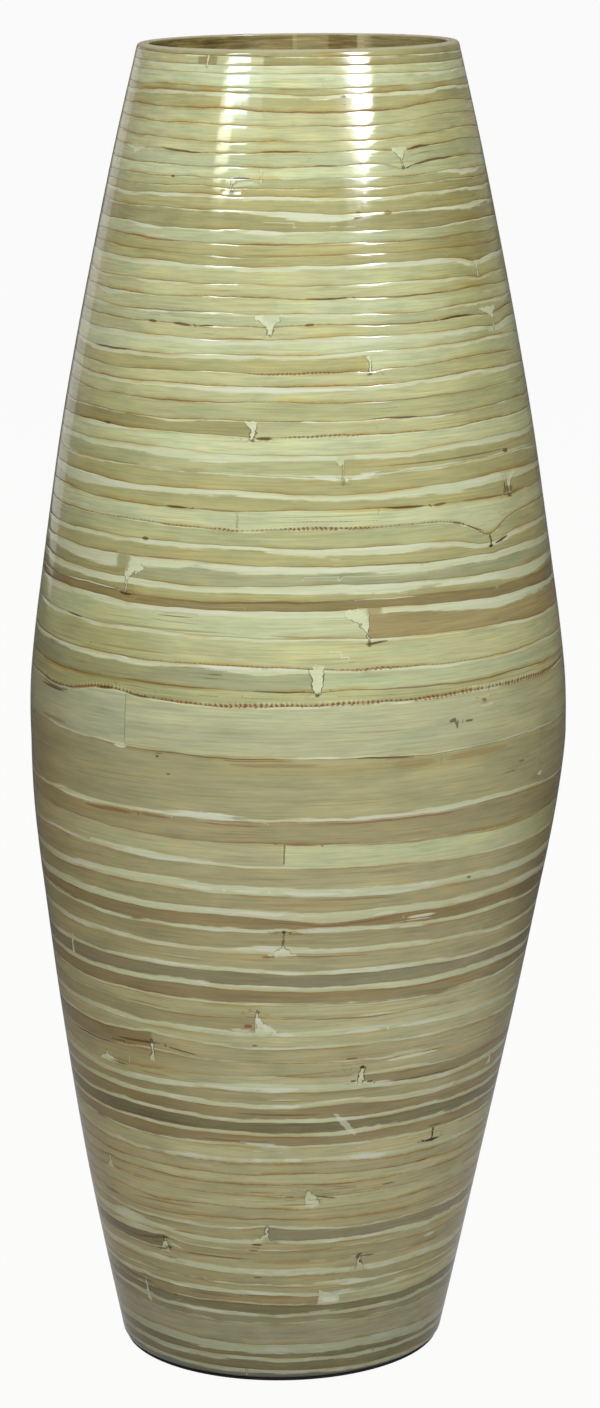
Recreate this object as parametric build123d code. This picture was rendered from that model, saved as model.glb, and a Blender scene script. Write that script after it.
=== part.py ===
from build123d import *
import math
import os

# A tall floor vase of wound bamboo. Split bamboo strips are wound turn on turn and glued, each turn
# lapping the one before, and the wall is sanded to one smooth outline that swells at the belly.
# Two wide hoops meet at the belly, a thin hoop lines the mouth, and a board closes the foot.
# Millimetres, +Z up. The origin is on the floor below the middle of the belly.
# Angles are counted in turns from the front, which faces -Y, and run towards -X, as the strips do.

# Overall sizes
height = 700.0
foot_radius = 86.6
belly_radius = 142.8
mouth_radius = 83.0
belly_height = 344.0  # where the vase is widest
foot_lean = 12.0  # how far the foot stands to -X of the belly: the vase is hand made and stands askew
mouth_lean = 3.0  # how far the mouth stands to +X of the belly

# Wound wall
wall = 4.0  # thickness of the wall, measured level
lap = 8.0  # how much further up or down a joint between turns comes out on the inner face
glue_gap = 0.15  # height of the glue line between turns
butt_gap = 0.3  # gap where one strip ends and the next begins
thinnest_end = 0.6  # height of the tapered end of the first and last strip of a winding

# Belly hoops
belly_joint_height = 351.0  # where the two hoops meet
lower_hoop_height = 31.5
upper_hoop_height = 28.0

# Mouth hoop
mouth_hoop_height = 30.0
mouth_hoop_wall = 1.8
hoop_fit = 0.15  # clearance between the mouth hoop and the wall

# Base
sheet_thickness = 1.5
sheet_inset = 1.0  # how far the sheet's edge stands back from the foot
board_thickness = 9.0
board_fit = 0.2  # clearance between the board's edge and the wall

# Counts
sections_per_turn = 24
lower_strip_count = 19
upper_strip_count = 20
hoop_rows = 4  # straight steps that follow the outline up a hoop

# The outline: height as a share of the half it is in, radius as a share of the way to the belly
lower_outline_shares = ((0.0, 0.0), (0.145, 0.187), (0.29, 0.365), (0.436, 0.53), (0.58, 0.682),
                        (0.727, 0.824), (0.8, 0.894), (0.872, 0.952), (0.945, 0.99), (1.0, 1.0))
upper_outline_shares = ((0.0, 1.0), (0.045, 0.996), (0.087, 0.979), (0.157, 0.931), (0.228, 0.872),
                        (0.298, 0.814), (0.438, 0.69), (0.579, 0.539), (0.719, 0.373), (0.86, 0.195),
                        (1.0, 0.0))

# The lean: height share in the half, and share of the foot's or the mouth's offset
lower_lean_shares = ((0.0, 1.0), (0.29, 0.85), (0.58, 0.525), (0.87, 0.14), (0.97, 0.0), (1.0, 0.0))
upper_lean_shares = ((0.0, 0.0), (0.14, 0.03), (0.44, 0.24), (0.72, 0.6), (1.0, 1.0))

# Joints between turns, seen from the front, as shares of the height of each winding
lower_joint_shares = (0.0, 0.016, 0.039, 0.065, 0.105, 0.118, 0.14, 0.157, 0.175, 0.195, 0.22, 0.241,
                      0.253, 0.28, 0.3, 0.321, 0.343, 0.363, 0.381, 0.401, 0.432, 0.453, 0.478,
                      0.503, 0.53, 0.557, 0.582, 0.609, 0.631, 0.662, 0.684, 0.709, 0.739, 0.774,
                      0.811, 0.837, 0.874, 0.92, 0.961, 1.0)
upper_joint_shares = (0.0, 0.022, 0.056, 0.103, 0.146, 0.159, 0.181, 0.215, 0.243, 0.271, 0.299,
                      0.33, 0.355, 0.386, 0.413, 0.435, 0.463, 0.489, 0.511, 0.539, 0.561, 0.579,
                      0.598, 0.622, 0.643, 0.673, 0.688, 0.706, 0.726, 0.754, 0.777, 0.79, 0.804,
                      0.822, 0.844, 0.861, 0.885, 0.907, 0.933, 0.942, 0.963, 0.976, 0.99, 1.0)
level_turn_share = 0.4  # how far round from the front a winding's first joint stays level

# Where the hoops' butt joints come, in turns from the front
upper_hoop_joint_share = 0.106
lower_hoop_joint_share = 0.829
mouth_hoop_joint_share = 0.58


def smooth(table, x):
    """A smooth curve through the table's points, level outside them."""
    if x <= table[0][0]:
        return table[0][1]
    if x >= table[-1][0]:
        return table[-1][1]
    i = max(k for k in range(len(table) - 1) if table[k][0] <= x)

    def slope(k):
        low, high = max(k - 1, 0), min(k + 1, len(table) - 1)
        return (table[high][1] - table[low][1]) / (table[high][0] - table[low][0])

    (x0, y0), (x1, y1) = table[i], table[i + 1]
    run = x1 - x0
    t = (x - x0) / run
    return (y0 * (1 + 2 * t) * (1 - t) ** 2 + slope(i) * run * t * (1 - t) ** 2
            + y1 * t ** 2 * (3 - 2 * t) + slope(i + 1) * run * t ** 2 * (t - 1))


lower_outline = [(s * belly_height, foot_radius + r * (belly_radius - foot_radius))
                 for s, r in lower_outline_shares]
upper_outline = [(belly_height + s * (height - belly_height),
                  mouth_radius + r * (belly_radius - mouth_radius)) for s, r in upper_outline_shares]
outline = lower_outline + upper_outline[1:]
lean = ([(s * belly_height, -foot_lean * d) for s, d in lower_lean_shares]
        + [(belly_height + s * (height - belly_height), mouth_lean * d)
           for s, d in upper_lean_shares[1:]])

lower_winding_top = belly_joint_height - lower_hoop_height
upper_winding_bottom = belly_joint_height + upper_hoop_height

# How far above its outer line a joint comes out on the inner face: turns lap upwards below the
# belly and downwards above it, and the foot, the belly joint and the rim are cut square
laps = ((sheet_thickness, 0.0), (sheet_thickness + 2 * lap, lap), (lower_winding_top, lap),
        (belly_joint_height, 0.0), (upper_winding_bottom, -lap), (height - 2 * lap, -lap),
        (height, 0.0))


def straight(table, x):
    """The value between the table's points, on straight lines."""
    for (x0, y0), (x1, y1) in zip(table, table[1:]):
        if x <= x1:
            return y0 + (y1 - y0) * (x - x0) / (x1 - x0)
    return table[-1][1]


def wall_point(turn, z, depth):
    """The point of the upright plane at this angle that lies this deep inside the leaning outline."""
    radius = smooth(outline, z) - depth
    offset = smooth(lean, z)
    angle = 2 * math.pi * turn
    reach = math.sqrt(radius ** 2 - (offset * math.cos(angle)) ** 2) - offset * math.sin(angle)
    return Vector(-reach * math.sin(angle), -reach * math.cos(angle), z)


def band_section(turn, outer_low, outer_high, inner_low, inner_high, out_depth, in_depth, rows):
    """A cross-section of a band: up its outer face and down its inner face."""
    steps = [k / rows for k in range(rows + 1)]
    outer = [wall_point(turn, outer_low + s * (outer_high - outer_low), out_depth) for s in steps]
    inner = [wall_point(turn, inner_high + s * (inner_low - inner_high), in_depth) for s in steps]
    return Wire(Polyline(*outer, *inner, close=True).edges())


def wall_section(turn, low, high, rows):
    """A cross-section through the full wall between two joints, with half a glue line off each."""
    low, high = low + glue_gap / 2, high - glue_gap / 2
    return band_section(turn, low, high, low + straight(laps, low), high + straight(laps, high),
                        0, wall, rows)


def turns_between(start, end):
    """The places of the sections from one butt joint to the next, with half a gap at each end."""
    half_gap = butt_gap / (4 * math.pi * belly_radius)
    count = round((end - start) * sections_per_turn)
    places = [start + k / sections_per_turn for k in range(count + 1)]
    return [start + half_gap, *places[1:-1], end - half_gap]


def winding(name, bottom, top, joint_shares, strip_count):
    """The strips of one winding, from its level bottom to its level top."""
    last = len(joint_shares) - 1
    joints = [(k, bottom + s * (top - bottom)) for k, s in enumerate(joint_shares)]
    joints[0] = (level_turn_share, bottom)
    joints[-1] = (last - level_turn_share, top)

    grid = range(-sections_per_turn, last * sections_per_turn + 1)
    runs = [k for k in grid
            if smooth(joints, k / sections_per_turn + 1) - bottom > thinnest_end
            and top - smooth(joints, k / sections_per_turn) > thinnest_end]
    ends = [runs[0] + round(n * (len(runs) - 1) / strip_count) for n in range(strip_count + 1)]
    strips = {}
    for n in range(strip_count):
        places = turns_between(ends[n] / sections_per_turn, ends[n + 1] / sections_per_turn)
        sections = [wall_section(u, smooth(joints, u), smooth(joints, u + 1), 1) for u in places]
        strips[f"{name}_strip_{n + 1:02d}"] = Solid.make_loft(sections)
    return strips


def belly_hoop(low, high, joint_share):
    """One wide hoop of a single turn, butted at its ends."""
    places = turns_between(joint_share, joint_share + 1)
    return Solid.make_loft([wall_section(u, low, high, hoop_rows) for u in places])


def mouth_hoop():
    """The thin hoop that lines the mouth, flush with the rim."""
    low = height - mouth_hoop_height
    outer_depth = wall + hoop_fit
    places = turns_between(mouth_hoop_joint_share, mouth_hoop_joint_share + 1)
    return Solid.make_loft([band_section(u, low, height, low, height, outer_depth,
                                         outer_depth + mouth_hoop_wall, hoop_rows) for u in places])


def disc_wire(z, inset):
    """A level circle inside the outline."""
    centre = Plane((smooth(lean, z), 0, z))
    return Wire([Edge.make_circle(smooth(outline, z) - inset, centre)])


def base_board():
    """The board that closes the foot, its edge sanded to the slope of the wall."""
    inset = wall + board_fit
    return Solid.make_loft([disc_wire(sheet_thickness, inset),
                            disc_wire(sheet_thickness + board_thickness, inset)])


def base_sheet():
    """The thin black sheet under the board and the wall, on which the vase stands."""
    edge = Face(disc_wire(sheet_thickness, sheet_inset))
    return Solid.extrude(edge, Vector(0, 0, -sheet_thickness))


parts = {}
parts.update(winding("lower", sheet_thickness, lower_winding_top, lower_joint_shares,
                     lower_strip_count))
parts.update(winding("upper", upper_winding_bottom, height, upper_joint_shares, upper_strip_count))
parts["belly_hoop_lower"] = belly_hoop(lower_winding_top, belly_joint_height,
                                       lower_hoop_joint_share)
parts["belly_hoop_upper"] = belly_hoop(belly_joint_height, upper_winding_bottom,
                                       upper_hoop_joint_share)
parts["mouth_hoop"] = mouth_hoop()
parts["base_board"] = base_board()
parts["base_sheet"] = base_sheet()

os.makedirs("parts", exist_ok=True)
for node, solid in parts.items():
    export_step(solid, f"parts/{node}.step")
    print(node, solid.is_valid, round(solid.volume))
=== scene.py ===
import bpy
import math
import numpy as np
from mathutils import Matrix


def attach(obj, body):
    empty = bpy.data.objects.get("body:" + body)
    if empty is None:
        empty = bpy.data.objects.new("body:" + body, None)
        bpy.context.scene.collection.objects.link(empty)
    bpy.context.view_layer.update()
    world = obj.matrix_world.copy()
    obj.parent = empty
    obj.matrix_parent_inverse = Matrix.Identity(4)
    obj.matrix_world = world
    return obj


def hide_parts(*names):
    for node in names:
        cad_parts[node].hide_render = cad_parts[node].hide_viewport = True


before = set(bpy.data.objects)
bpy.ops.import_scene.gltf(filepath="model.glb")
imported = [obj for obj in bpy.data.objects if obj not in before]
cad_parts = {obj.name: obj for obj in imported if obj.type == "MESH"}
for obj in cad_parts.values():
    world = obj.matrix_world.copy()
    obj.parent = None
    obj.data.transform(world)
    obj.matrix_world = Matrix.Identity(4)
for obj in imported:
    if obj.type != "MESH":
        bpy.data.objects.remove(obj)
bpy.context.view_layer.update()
print("frame loaded:", len(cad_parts), "nodes")

mm = 0.001


def curveAt(points, x):  # a smooth curve through given points, level outside them
    px, py = np.array(points, float).T
    slope = np.empty_like(py)
    slope[1:-1] = (py[2:] - py[:-2]) / (px[2:] - px[:-2])
    slope[0] = (py[1] - py[0]) / (px[1] - px[0])
    slope[-1] = (py[-1] - py[-2]) / (px[-1] - px[-2])
    x = np.clip(x, px[0], px[-1])
    i = np.clip(np.searchsorted(px, x, side="right") - 1, 0, len(px) - 2)
    run = px[i + 1] - px[i]
    t = (x - px[i]) / run
    return (py[i] * (1 + 2 * t) * (1 - t) ** 2 + slope[i] * run * t * (1 - t) ** 2
            + py[i + 1] * t ** 2 * (3 - 2 * t) + slope[i + 1] * run * t ** 2 * (t - 1))


def lineAt(points, x):  # straight runs between given points
    px, py = np.array(points, float).T
    return np.interp(x, px, py)


def ease(x, low, high):  # 0 below low, 1 above high, smooth between
    t = np.clip((x - low) / (high - low), 0, 1)
    return t * t * (3 - 2 * t)


def bell(x):
    return np.exp(-x * x)


def fromFront(turn):  # degrees from the front, positive to the right as seen from there
    return (180 - 360 * np.asarray(turn, float)) % 360 - 180


def seenAngle(turn, z):  # the same about the wall's own leaning middle
    phi = fromFront(turn)
    return phi - np.degrees(np.arcsin(curveAt(lean, z) * np.cos(np.radians(phi)) / curveAt(outline, z)))


def linear(name):  # a finish's colour as the shaders count it
    code = tones[name]
    parts = [int(code[k:k + 2], 16) / 255 for k in (0, 2, 4)]
    return [c / 12.92 if c < 0.04045 else ((c + 0.055) / 1.055) ** 2.4 for c in parts]


# The wall, in millimetres: one outline and one lean for every strip
wall = {
    "height": 700.0, "belly": 344.0, "footRadius": 86.6, "bellyRadius": 142.8, "mouthRadius": 83.0,
    "footLean": 12.0, "mouthLean": 3.0, "thick": 4.0, "lap": 8.0,
    "sheet": 1.5, "lowerTop": 319.5, "bellyJoint": 351.0, "upperBottom": 379.0,
    "glue": 0.1, "butt": 0.05, "levelTurn": 0.4, "stepsPerTurn": 24, "thinnestEnd": 0.6,
    "rimRound": 1.6, "footRound": 2.2,
}

# Each half's outline and lean: share of its height, then of the way to the belly or of its lean
lowerOutline = [(0.0, 0.0), (0.145, 0.187), (0.29, 0.365), (0.436, 0.53), (0.58, 0.682),
                (0.727, 0.824), (0.8, 0.894), (0.872, 0.952), (0.945, 0.99), (1.0, 1.0)]
upperOutline = [(0.0, 1.0), (0.045, 0.996), (0.087, 0.979), (0.157, 0.931), (0.228, 0.872),
                (0.298, 0.814), (0.438, 0.69), (0.579, 0.539), (0.719, 0.373), (0.86, 0.195),
                (1.0, 0.0)]
lowerLean = [(0.0, 1.0), (0.29, 0.85), (0.58, 0.525), (0.87, 0.14), (0.97, 0.0), (1.0, 0.0)]
upperLean = [(0.0, 0.0), (0.14, 0.03), (0.44, 0.24), (0.72, 0.6), (1.0, 1.0)]

below, above = wall["belly"], wall["height"] - wall["belly"]
outline = ([(s * below, wall["footRadius"] + r * (wall["bellyRadius"] - wall["footRadius"]))
            for s, r in lowerOutline]
           + [(below + s * above, wall["mouthRadius"] + r * (wall["bellyRadius"] - wall["mouthRadius"]))
              for s, r in upperOutline[1:]])
lean = ([(s * below, -wall["footLean"] * d) for s, d in lowerLean]
        + [(below + s * above, wall["mouthLean"] * d) for s, d in upperLean[1:]])
# How far above its outer line a joint comes out on the inner face
laps = [(wall["sheet"], 0.0), (wall["sheet"] + 2 * wall["lap"], wall["lap"]),
        (wall["lowerTop"], wall["lap"]), (wall["bellyJoint"], 0.0),
        (wall["upperBottom"], -wall["lap"]), (wall["height"] - 2 * wall["lap"], -wall["lap"]),
        (wall["height"], 0.0)]


def wallPoint(turn, z, depth):  # metres, for a height and a depth inside the leaning outline
    angle = 2 * math.pi * turn
    radius = curveAt(outline, z) - depth
    offset = curveAt(lean, z)
    reach = np.sqrt(radius ** 2 - (offset * np.cos(angle)) ** 2) - offset * np.sin(angle)
    return np.stack((-reach * np.sin(angle), -reach * np.cos(angle), z), axis=-1) * mm


# How the joints wander off their even spiral: phi, height, reach round, reach up, rise
swells = [(62, 655, 26, 26, 4.0), (60, 530, 30, 60, 3.0), (-62, 353, 30, 10, 4.5),
          (48, 464, 6, 5, -7.0), (12, 560, 12, 8, 1.6), (-55, 550, 25, 8, -4.5), (12, 486, 16, 7, -2.2),
          (48, 458, 9, 9, -4.0), (15, 437, 22, 7, 2.0), (-60, 383, 22, 9, -4.0),
          (-38, 100, 16, 7, -3.0), (-4.5, 93, 6, 5, 2.0), (-38, 79, 9, 5, 2.2),
          (-12, 465, 9, 4, -1.0), (18, 164, 8, 6, 1.8), (-35, 193, 12, 6, 2.4),
          (-50, 176, 18, 7, -3.0), (7, 269, 9, 5, -2.6), (-60, 300, 26, 12, 2.0),
          (33, 645, 6, 6, -2.2), (58, 590, 6, 6, -3.2), (-44, 381, 9, 6, 4.0),
          (-60, 647, 8, 5, -1.5), (62, 560, 8, 6, -2.0)]
# Ripples all round: height of the wave, waves in a turn, height that shifts it by a radian, start
ripples = [(0.55, 3, 9, 0), (0.45, 5, -7, 1), (0.35, 9, 5, 2), (0.22, 17, -4, 0), (0.13, 37, 3, 0),
           (0.06, 71, -2, 0)]
# The back strays more than the front, a bamboo node pulls its joint, and foot and rim stay level
stray = {"front": 0.75, "back": 0.7, "backFrom": 70, "backTo": 110, "swing": 1.1, "swings": 2,
         "swingShift": 14, "pull": 1.1, "pullWide": 2.6, "pullUp": 3.5, "footLevel": 22, "rimLevel": 24}


def wander(turn, z):
    phi = seenAngle(turn, z)
    angle = 2 * math.pi * turn
    rise = sum(size * np.sin(waves * angle + z / shift + start) for size, waves, shift, start in ripples)
    away = ease(np.abs(phi), stray["backFrom"], stray["backTo"])
    rise = rise * (stray["front"] + stray["back"] * away)
    rise = rise + stray["swing"] * away * np.sin(stray["swings"] * angle + z / stray["swingShift"])
    for at, height, wide, up, lift in swells:
        rise = rise + lift * bell((phi - at) / wide) * bell((z - height) / up)
    for at, tip, mouth, _, _, _, _, dark, *_ in knots[:frontKnots]:
        pull = min(dark, 1.0) * (stray["pull"] if mouth > tip else -stray["pull"])
        rise = rise - pull * bell((phi - at) / stray["pullWide"]) * bell((z - tip) / stray["pullUp"])
    held = ease(z, wall["sheet"], stray["footLevel"])
    held = held * (1 - ease(z, wall["height"] - stray["rimLevel"], wall["height"]))
    return rise * held


# Finishes, as they look in plain light
tones = {
    "cream": "d6e0bc", "milk": "e2e9d6", "pale": "cfd9ae", "dew": "c3cda3", "straw": "c8cd9e",
    "sage": "bdc394", "tan": "b9b986", "moss": "afb58f", "olive": "adac7c",
    "umber": "ada274", "bronze": "9c9064",
    "hay": "c3c49d", "sand": "b9b690", "fawn": "b0ac86", "brown": "a09671", "dark": "858161",
    "leaf": "99967a", "stone": "a9a88c", "mud": "7c7e72",
    "reed": "aeae88", "reedPale": "b8b88f",
    "ash": "c2c8a3", "ashGrey": "bcc4a4", "ashWarm": "babe95",
    "rust": "8d6440", "umberDark": "5f4527", "amber": "9f8450", "burnt": "453222",
    "lip": "b9b79c", "inside": "a39455", "insideLight": "d5cc9b", "insideDark": "5c4a24",
    "board": "8a7453", "boardDark": "5e4a33", "black": "17150f", "floor": "b0a898",
}

# Courses at the front, from the foot up: cream at the low edge and at the high edge, strength of
# the brown line, then the skin's tone, with the place of each change from left to right
lowerCourses = [
    (0.0, 2.2, 0.3, "mud"), (0.0, 2.6, 0.2, "dark"), (0.0, 5.2, 0.0, "dark"),
    (0.0, 0.0, 0.5, "stone"), (0.9, 0.0, 0.2, "leaf"), (2.4, 0.0, 0.1, "dark"),
    (0.8, 0.0, 0.3, "brown", 12, "hay"), (2.5, 0.0, 0.2, "fawn", 12, "fawn"),
    (1.3, 0.0, 0.2, "fawn"), (4.0, 0.0, 0.6, "sand"), (0.6, 0.0, 0.3, "dark", -37, "fawn"),
    (0.8, 0.0, 0.2, "sand"), (3.0, 0.0, 0.3, "fawn", -5, "leaf"), (1.6, 0.0, 0.2, "sand"),
    (0.0, 0.0, 0.5, "sand"), (0.0, 0.0, 0.8, "hay"), (0.5, 0.0, 0.6, "sand"),
    (0.0, 0.0, 0.8, "hay"), (0.0, 0.0, 0.8, "sand"), (3.0, 0.0, 0.7, "hay"),
    (1.5, 0.0, 0.1, "brown"), (2.2, 0.0, 0.1, "dark"), (2.4, 0.0, 0.1, "brown"),
    (3.0, 0.0, 0.2, "fawn"), (3.4, 0.0, 0.2, "hay", 18.5, "brown"), (0.4, 0.0, 0.5, "sand"),
    (1.0, 0.0, 0.5, "brown", -35, "sand"), (1.8, 0.0, 0.2, "hay"),
    (3.0, 0.0, 0.3, "fawn", -7.5, "hay"), (0.8, 0.0, 0.5, "hay"),
    (1.5, 0.0, 0.1, "brown"), (3.0, 0.0, 0.0, "leaf"), (2.3, 0.0, 0.1, "sand"),
    (2.8, 0.0, 0.2, "fawn"), (2.3, 0.0, 0.1, "brown"), (4.2, 0.0, 0.1, "fawn"),
    (4.2, 0.0, 0.2, "sand"), (1.8, 0.0, 0.3, "hay", -2.5, "pale"), (0.4, 0.0, 0.6, "fawn"),
]
upperCourses = [
    (0.0, 0.0, 1.7, "sage"), (0.0, 1.6, 0.5, "moss", 4, "dew"), (0.0, 1.5, 0.9, "straw"),
    (0.0, 3.2, 0.2, "pale", 15, "umber"), (0.0, 0.0, 0.4, "bronze"),
    (0.0, 3.4, 0.3, "olive", -38, "tan"), (0.0, 3.8, 0.1, "olive", -40.5, "moss"),
    (0.0, 2.4, 0.5, "tan"), (0.0, 0.6, 0.2, "sage"),
    (0.0, 0.3, 1.0, "pale"), (0.0, 3.4, 0.5, "tan"), (0.0, 0.9, 0.3, "tan"),
    (0.9, 2.8, 0.3, "sage", 10.5, "tan"), (0.0, 0.6, 0.1, "pale"),
    (0.0, 0.9, 0.7, "olive", -10.5, "straw"),
    (0.0, 0.4, 0.5, "sage"), (0.0, 2.0, 0.5, "straw"), (0.0, 0.4, 0.7, "straw"),
    (0.0, 2.2, 0.5, "tan", 18, "pale"), (0.0, 3.0, 0.3, "pale"), (0.0, 0.4, 0.4, "straw"),
    (0.0, 1.3, 0.8, "dew"), (0.0, 0.3, 0.4, "straw", -5, "pale"), (0.0, 1.2, 0.8, "straw"),
    (0.0, 2.6, 0.2, "straw"), (0.0, 0.0, 0.2, "tan"), (0.0, 0.3, 0.3, "tan"),
    (0.0, 0.8, 0.5, "dew"), (0.0, 0.9, 0.2, "olive"), (0.0, 1.7, 0.3, "tan"),
    (0.0, 0.5, 0.3, "tan"), (0.0, 0.4, 0.5, "sage"), (0.0, 0.5, 0.4, "pale"),
    (0.0, 0.6, 0.6, "dew"), (0.0, 0.3, 0.7, "straw"), (0.0, 0.3, 0.4, "straw"),
    (0.0, 0.3, 0.6, "straw"), (0.0, 1.9, 0.7, "tan"), (0.0, 0.3, 0.6, "tan"),
    (0.0, 1.6, 0.2, "pale"), (0.0, 0.8, 0.2, "pale"),
    (0.0, 0.9, 0.3, "straw", -36.5, "umber", -28.5, "straw", -12, "olive"), (0.0, 0.0, 0.3, "olive"),
]

windings = {
    "lower": {
        "bottom": wall["sheet"], "top": wall["lowerTop"], "strips": 19, "courses": lowerCourses,
        "joints": [0.0, 0.016, 0.039, 0.065, 0.105, 0.118, 0.14, 0.157, 0.175, 0.195, 0.22, 0.241,
                   0.253, 0.28, 0.3, 0.321, 0.343, 0.363, 0.381, 0.401, 0.432, 0.453, 0.478,
                   0.503, 0.53, 0.557, 0.582, 0.609, 0.631, 0.662, 0.684, 0.709, 0.739, 0.774,
                   0.811, 0.837, 0.874, 0.92, 0.961, 1.0]},
    "upper": {
        "bottom": wall["upperBottom"], "top": wall["height"], "strips": 20, "courses": upperCourses,
        "joints": [0.0, 0.022, 0.056, 0.103, 0.146, 0.159, 0.181, 0.215, 0.243, 0.271, 0.299,
                   0.33, 0.355, 0.386, 0.413, 0.435, 0.463, 0.489, 0.511, 0.539, 0.561, 0.579,
                   0.598, 0.622, 0.643, 0.673, 0.688, 0.706, 0.726, 0.754, 0.777, 0.79, 0.804,
                   0.822, 0.844, 0.861, 0.885, 0.907, 0.933, 0.942, 0.963, 0.976, 0.99, 1.0]},
}

# Bamboo nodes seen from the front: phi, height of the crack's tip, height where it opens into the
# cream, half width, flare to the left and right there, size of the scar, darkness of the tip, and
# how far along the crack it opens
knots = [
    (-32.5, 691, 697, 0.5, 0.2, 0.2, 0.0, 0.3), (33, 641, 651, 0.5, 5.5, 3.0, 0.3, 0.9, 0.75),
    (-60, 643.5, 651, 0.4, 14.0, 12.0, 0.0, 0.2), (-19.5, 630.5, 638, 0.4, 0.5, 6.0, 0.0, 0.6),
    (-11, 635, 642, 0.4, 0.3, 0.6, 0.0, 0.1), (58, 583.5, 592, 0.5, 2.0, 5.0, 0.3, 0.5),
    (-7, 561, 571, 1.4, 6.0, 5.0, 0.6, 0.7, 0.7), (62, 556, 568, 0.5, 13.0, 5.0, 0.0, 0.4),
    (18, 541, 550, 0.6, 1.2, 0.8, 0.0, 0.8, 1.0), (-10.5, 509.5, 519, 1.2, 3.6, 2.2, 0.0, 0.9, 0.9),
    (10.5, 488, 500, 0.3, 5.0, 0.6, 0.4, 0.4, 0.9), (58, 472.5, 484, 0.9, 0.4, 7.0, 0.3, 1.0, 0.8),
    (-13.5, 467, 475, 0.2, 0.2, 0.2, 0.0, 0.4), (48.5, 450, 458, 0.3, 0.2, 0.2, 0.0, 1.6),
    (-40.5, 430, 447, 0.5, 0.2, 10.0, 1.0, 0.6, 0.7), (15, 408.5, 425.5, 0.5, 11.0, 0.1, 1.0, 0.9, 0.7),
    (4, 384, 398.5, 1.1, 2.4, 2.0, 0.0, 1.1, 0.35), (-2, 260.5, 247, 0.2, 8.0, 7.0, 0.0, 1.1, 0.9),
    (-61.5, 242, 231, 0.8, 0.3, 0.3, 0.0, 0.2), (-7.5, 216, 204, 0.8, 0.2, 6.0, 0.0, 0.7, 0.6),
    (-35, 194, 183, 0.9, 0.8, 0.4, 0.3, 1.0, 0.8), (-51, 181.5, 176, 0.8, 6.0, 8.0, 0.0, 0.6, 0.7),
    (18.5, 183, 172.5, 1.5, 0.3, 0.3, 0.0, 1.5, 0.6), (64, 171, 165, 1.0, 3.0, 2.0, 0.0, 0.2),
    (43, 132.5, 141, 0.3, 0.6, 0.6, 0.0, 2.6), (-57, 119, 112, 0.8, 3.0, 2.0, 0.3, 0.5),
    (6.5, 114, 104.5, 1.0, 0.3, 4.5, 0.0, 0.5, 0.3), (-4.5, 93.5, 84, 0.8, 6.0, 1.0, 0.6, 0.6, 0.8),
    (-37, 80, 71, 0.5, 4.0, 2.0, 0.8, 1.1, 0.6), (23.5, 73.5, 64, 0.6, 0.6, 2.6, 0.6, 1.0, 0.6),
    (12, 54.5, 46, 1.0, 0.3, 9.0, 0.0, 0.3, 0.35), (-48.5, 52, 38, 0.9, 0.3, 1.2, 0.0, 0.4),
    (12, 16, 12.5, 0.3, 0.1, 0.1, 0.0, 0.4), (33, 15, 11.5, 0.4, 0.1, 0.1, 0.0, 0.5),
    (-12, 7.5, 3.5, 0.4, 0.2, 0.2, 0.0, 0.5),
    (-38.2, 355, 381, 0.0, 0.0, 0.0, -0.5, 0.0), (61.5, 320, 350, 0.0, 0.0, 0.0, -0.4, 0.0),
    (-2.5, 296.5, 307, 0.0, 0.0, 0.0, -0.9, 0.0),
]  # a scar below zero is the crack of a butt joint
usualKnee, knotColumns = 0.9, 9  # where a crack opens if its row does not say, and a full row

# Brown stains that soak across the courses; the tall ones 62 to 74 degrees to either side are painted shade
# browning the wall towards its sides. Columns: phi, height, reach round, reach up, strength
stainsAndEdgeShade = [(15, 346.5, 38, 4.0, 0.45), (-40, 317, 13, 2.6, 0.45), (12, 317.2, 30, 2.4, 0.35),
          (-62, 330, 16, 40, 0.25), (72, 300, 12, 100, 0.2), (-68, 150, 24, 120, 0.45),
          (4, 266, 22, 3.4, 0.45), (40, 264, 26, 3.0, 0.35), (-66, 378, 12, 8, 0.35),
          (60, 378, 14, 3, 0.45), (-30, 220, 16, 4, 0.2), (-74, 330, 12, 70, 0.4), (-36, 192, 9, 3, 0.4),
          (20, 190, 14, 3.0, 0.35), (58, 610, 12, 5, 0.4), (-66, 520, 14, 8, 0.3),
          (66, 470, 14, 26, 0.35), (-14, 147, 24, 4, 0.25), (60, 580, 12, 4, 0.3)]

# Painted light and shade: where the skin is lighter or darker than its course, in part from the bamboo
# darkening unevenly. Columns: phi, height, reach round, reach up, share
unevenToneAndPaintedLight = [(56, 595, 17, 95, -0.26), (-50, 655, 14, 34, 0.06), (-47, 395, 16, 42, -0.2),
            (-54, 505, 12, 24, -0.14), (44, 180, 18, 100, 0.08), (-40, 160, 15, 32, -0.2),
            (-12, 214, 9, 20, -0.12), (-66, 300, 12, 60, -0.06), (-44, 245, 22, 60, -0.12),
            (-4, 60, 70, 80, -0.05), (72, 250, 13, 90, -0.3), (-74, 400, 10, 50, -0.15)]
brownShare = (0.9, 1.0, 1.6)  # how much more the blue goes down where the skin is darker

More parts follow.
